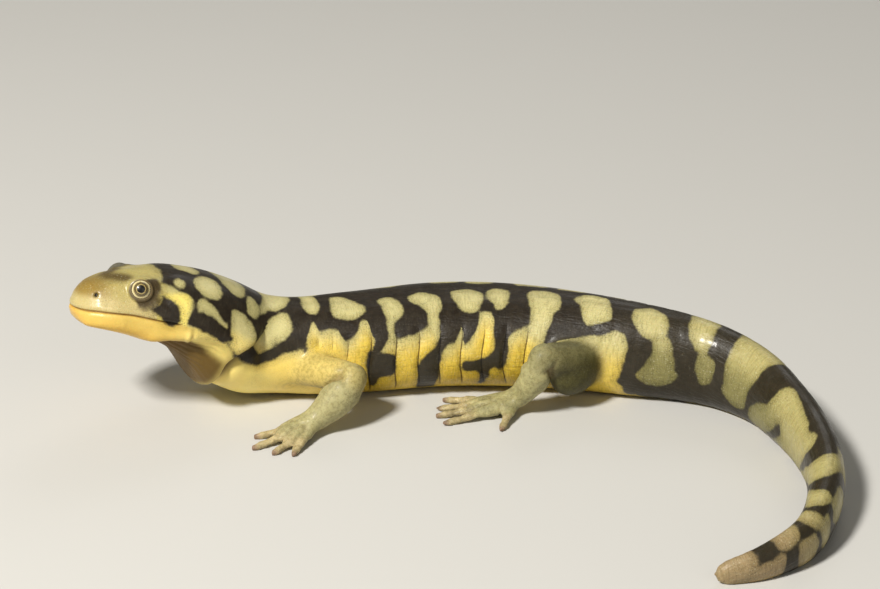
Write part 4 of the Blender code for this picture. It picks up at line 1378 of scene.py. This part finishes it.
streaky = ease(50, 62, at) * (1 - under) * trunkShare
opaque = np.ones(len(points))
for name, values in (
    ("skinPlace", np.stack([at, arc, 0 * at], 1)), ("paleEdge", pale), ("grooveLine", grooveLine),
    ("grooveShare", grooveShare), ("dryness", dryness), ("speckle", speckle), ("limbShare", limbShare),
    ("streaky", streaky), ("paleColour", np.c_[paleColour, opaque]), ("darkColour", np.c_[darkColour, opaque]),
):
    keepValues(skinMesh, name, values)
points[:, 2] = np.maximum(points[:, 2], 0)
fleshNodes = [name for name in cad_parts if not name.endswith("_eye")]
finishPiece("skin", points, skinMesh, fleshNodes, skinMaterial())
triangles = sum(len(face.vertices) - 2 for face in skinMesh.polygons)
print("skin:", len(skinMesh.vertices), "points,", triangles, "triangles")

# eyeballs: a round dark pupil in a gold-flecked iris
irisLook = {
    "rings": (
        (0.0, (0.002, 0.002, 0.002)), (0.335, (0.002, 0.002, 0.002)), (0.36, (0.50, 0.38, 0.14)),
        (0.40, (0.42, 0.31, 0.11)), (0.43, (0.06, 0.042, 0.016)), (0.60, (0.13, 0.095, 0.035)),
        (0.655, (0.66, 0.56, 0.28)), (0.735, (0.74, 0.65, 0.37)), (0.775, (0.10, 0.07, 0.03)),
        (0.83, (0.02, 0.015, 0.01)),
    ),
    "flecks": (0.55, 0.40, 0.14),
    "cornea": 0.16,  # how far the clear front stands out
}


def eyeMaterial():
    material, shader, here = startMaterial("eyeball", {
        "IOR": 1.45, "Coat Weight": 1.0, "Coat Roughness": 0.03, "Coat IOR": 1.38, "Roughness": 0.35,
    })
    place = here.kept("lookPlace", "Vector")
    x, y = (here.node("ShaderNodeSeparateXYZ", None, {0: place}, axis) for axis in "XY")
    radius = here.maths("SQRT", x * x + y * y)
    angle = here.maths("ARCTAN2", y, x)
    spokes = here.node("ShaderNodeCombineXYZ", None, {0: angle * 2.6, 1: radius * 1.1})
    streaks = here.noise(spokes, 3.2, 3.0)
    rings = here.node("ShaderNodeValToRGB", {"stops": irisLook["rings"]}, {0: radius + (streaks - 0.5) * 0.17})
    flecks = here.noise(place, 14.0).between(0.56, 0.7)
    ring = radius.between(0.42, 0.47) * (1 - radius.between(0.78, 0.84))
    colour = here.mixed(flecks * ring * 0.7, rings, irisLook["flecks"])
    connect(here, shader, {"Base Color": colour})
    return material


def eyeball(sign):
    ball = bmesh.new()
    bmesh.ops.create_icosphere(ball, subdivisions=6, radius=1)
    for vert in ball.verts:  # the clear front bulges a little
        front = max(0.0, (vert.co.z - 0.72) / 0.28)
        vert.co *= 1 + irisLook["cornea"] * front * front * (3 - 2 * front) / eye["radius"]
    places = np.array([vert.co for vert in ball.verts])
    placeBall(ball, sign, (eye["radius"],) * 3)
    bmesh.ops.recalc_face_normals(ball, faces=ball.faces)
    mesh = finishMesh("eyeball", ball)
    keepValues(mesh, "lookPlace", places)
    return mesh


irisMaterial = eyeMaterial()
for sign, node in ((1, "left_eye"), (-1, "right_eye")):
    mesh = eyeball(sign)
    finishPiece(node + "_ball", rowsOf(mesh.vertices, "co"), mesh, [node], irisMaterial)
print("eyes set")

stage = {
    "target": (0, 0, 20.4), "away": 523, "elevation": 25.0, "lens": 100.0,
    "floorHalf": 3,  # metres
    "floor": (0.60, 0.595, 0.575), "floorGrain": (0.5, 0.5, 0.48),
    "lightsFace": (0, 0, 0.015),
    # each light: place and width in metres, watts, colour
    "lights": (
        ("key", (-0.46, -0.52, 0.80), 0.16, 15.0, (1.0, 0.965, 0.90)),
        ("fill", (0.7, -0.9, 0.55), 0.9, 1.5, (1.0, 0.96, 0.88)),
        ("rim", (0.3, 0.85, 0.75), 0.5, 1.3, (1.0, 1.0, 1.0)),
    ),
    "world": (0.90, 0.86, 0.74), "worldStrength": 0.15,
}


def makeFloor():
    form = bmesh.new()
    bmesh.ops.create_grid(form, x_segments=1, y_segments=1, size=stage["floorHalf"])
    floor = addObject("floor", finishMesh("floor", form))
    material, shader, here = startMaterial("paleFloor", {"Roughness": 0.75})
    grain = here.cloud(here.node("ShaderNodeTexCoord", output="Object"), 30.0)
    connect(here, shader, {"Base Color": here.mixed(grain * 0.06, stage["floor"], stage["floorGrain"])})
    floor.data.materials.append(material)


def makeLight(name, place, width, watts, colour):
    lamp = bpy.data.lights.new(name, "AREA")
    lamp.size, lamp.energy, lamp.color = width, watts, colour
    made = addObject(name, lamp)
    made.location = place
    made.rotation_euler = (Vector(stage["lightsFace"]) - Vector(place)).to_track_quat("-Z", "Y").to_euler()


makeFloor()
for light in stage["lights"]:
    makeLight(*light)
world = bpy.data.worlds.new("studio")
world.use_nodes = True
background = world.node_tree.nodes["Background"]
background.inputs["Color"].default_value = (*stage["world"], 1)
background.inputs["Strength"].default_value = stage["worldStrength"]
bpy.context.scene.world = world
bpy.context.scene.view_settings.view_transform = "Standard"
camera = addObject("camera", bpy.data.cameras.new("camera"))
camera.data.lens = stage["lens"]
camera.data.sensor_width = 36
lift = math.radians(stage["elevation"])
camera.location = (
    (np.array(stage["target"]) + shift + stage["away"] * np.array([0, -math.cos(lift), math.sin(lift)])) * mm
)
camera.rotation_euler = (math.pi / 2 - lift, 0, 0)
bpy.context.scene.camera = camera
print("floor, light and camera placed")
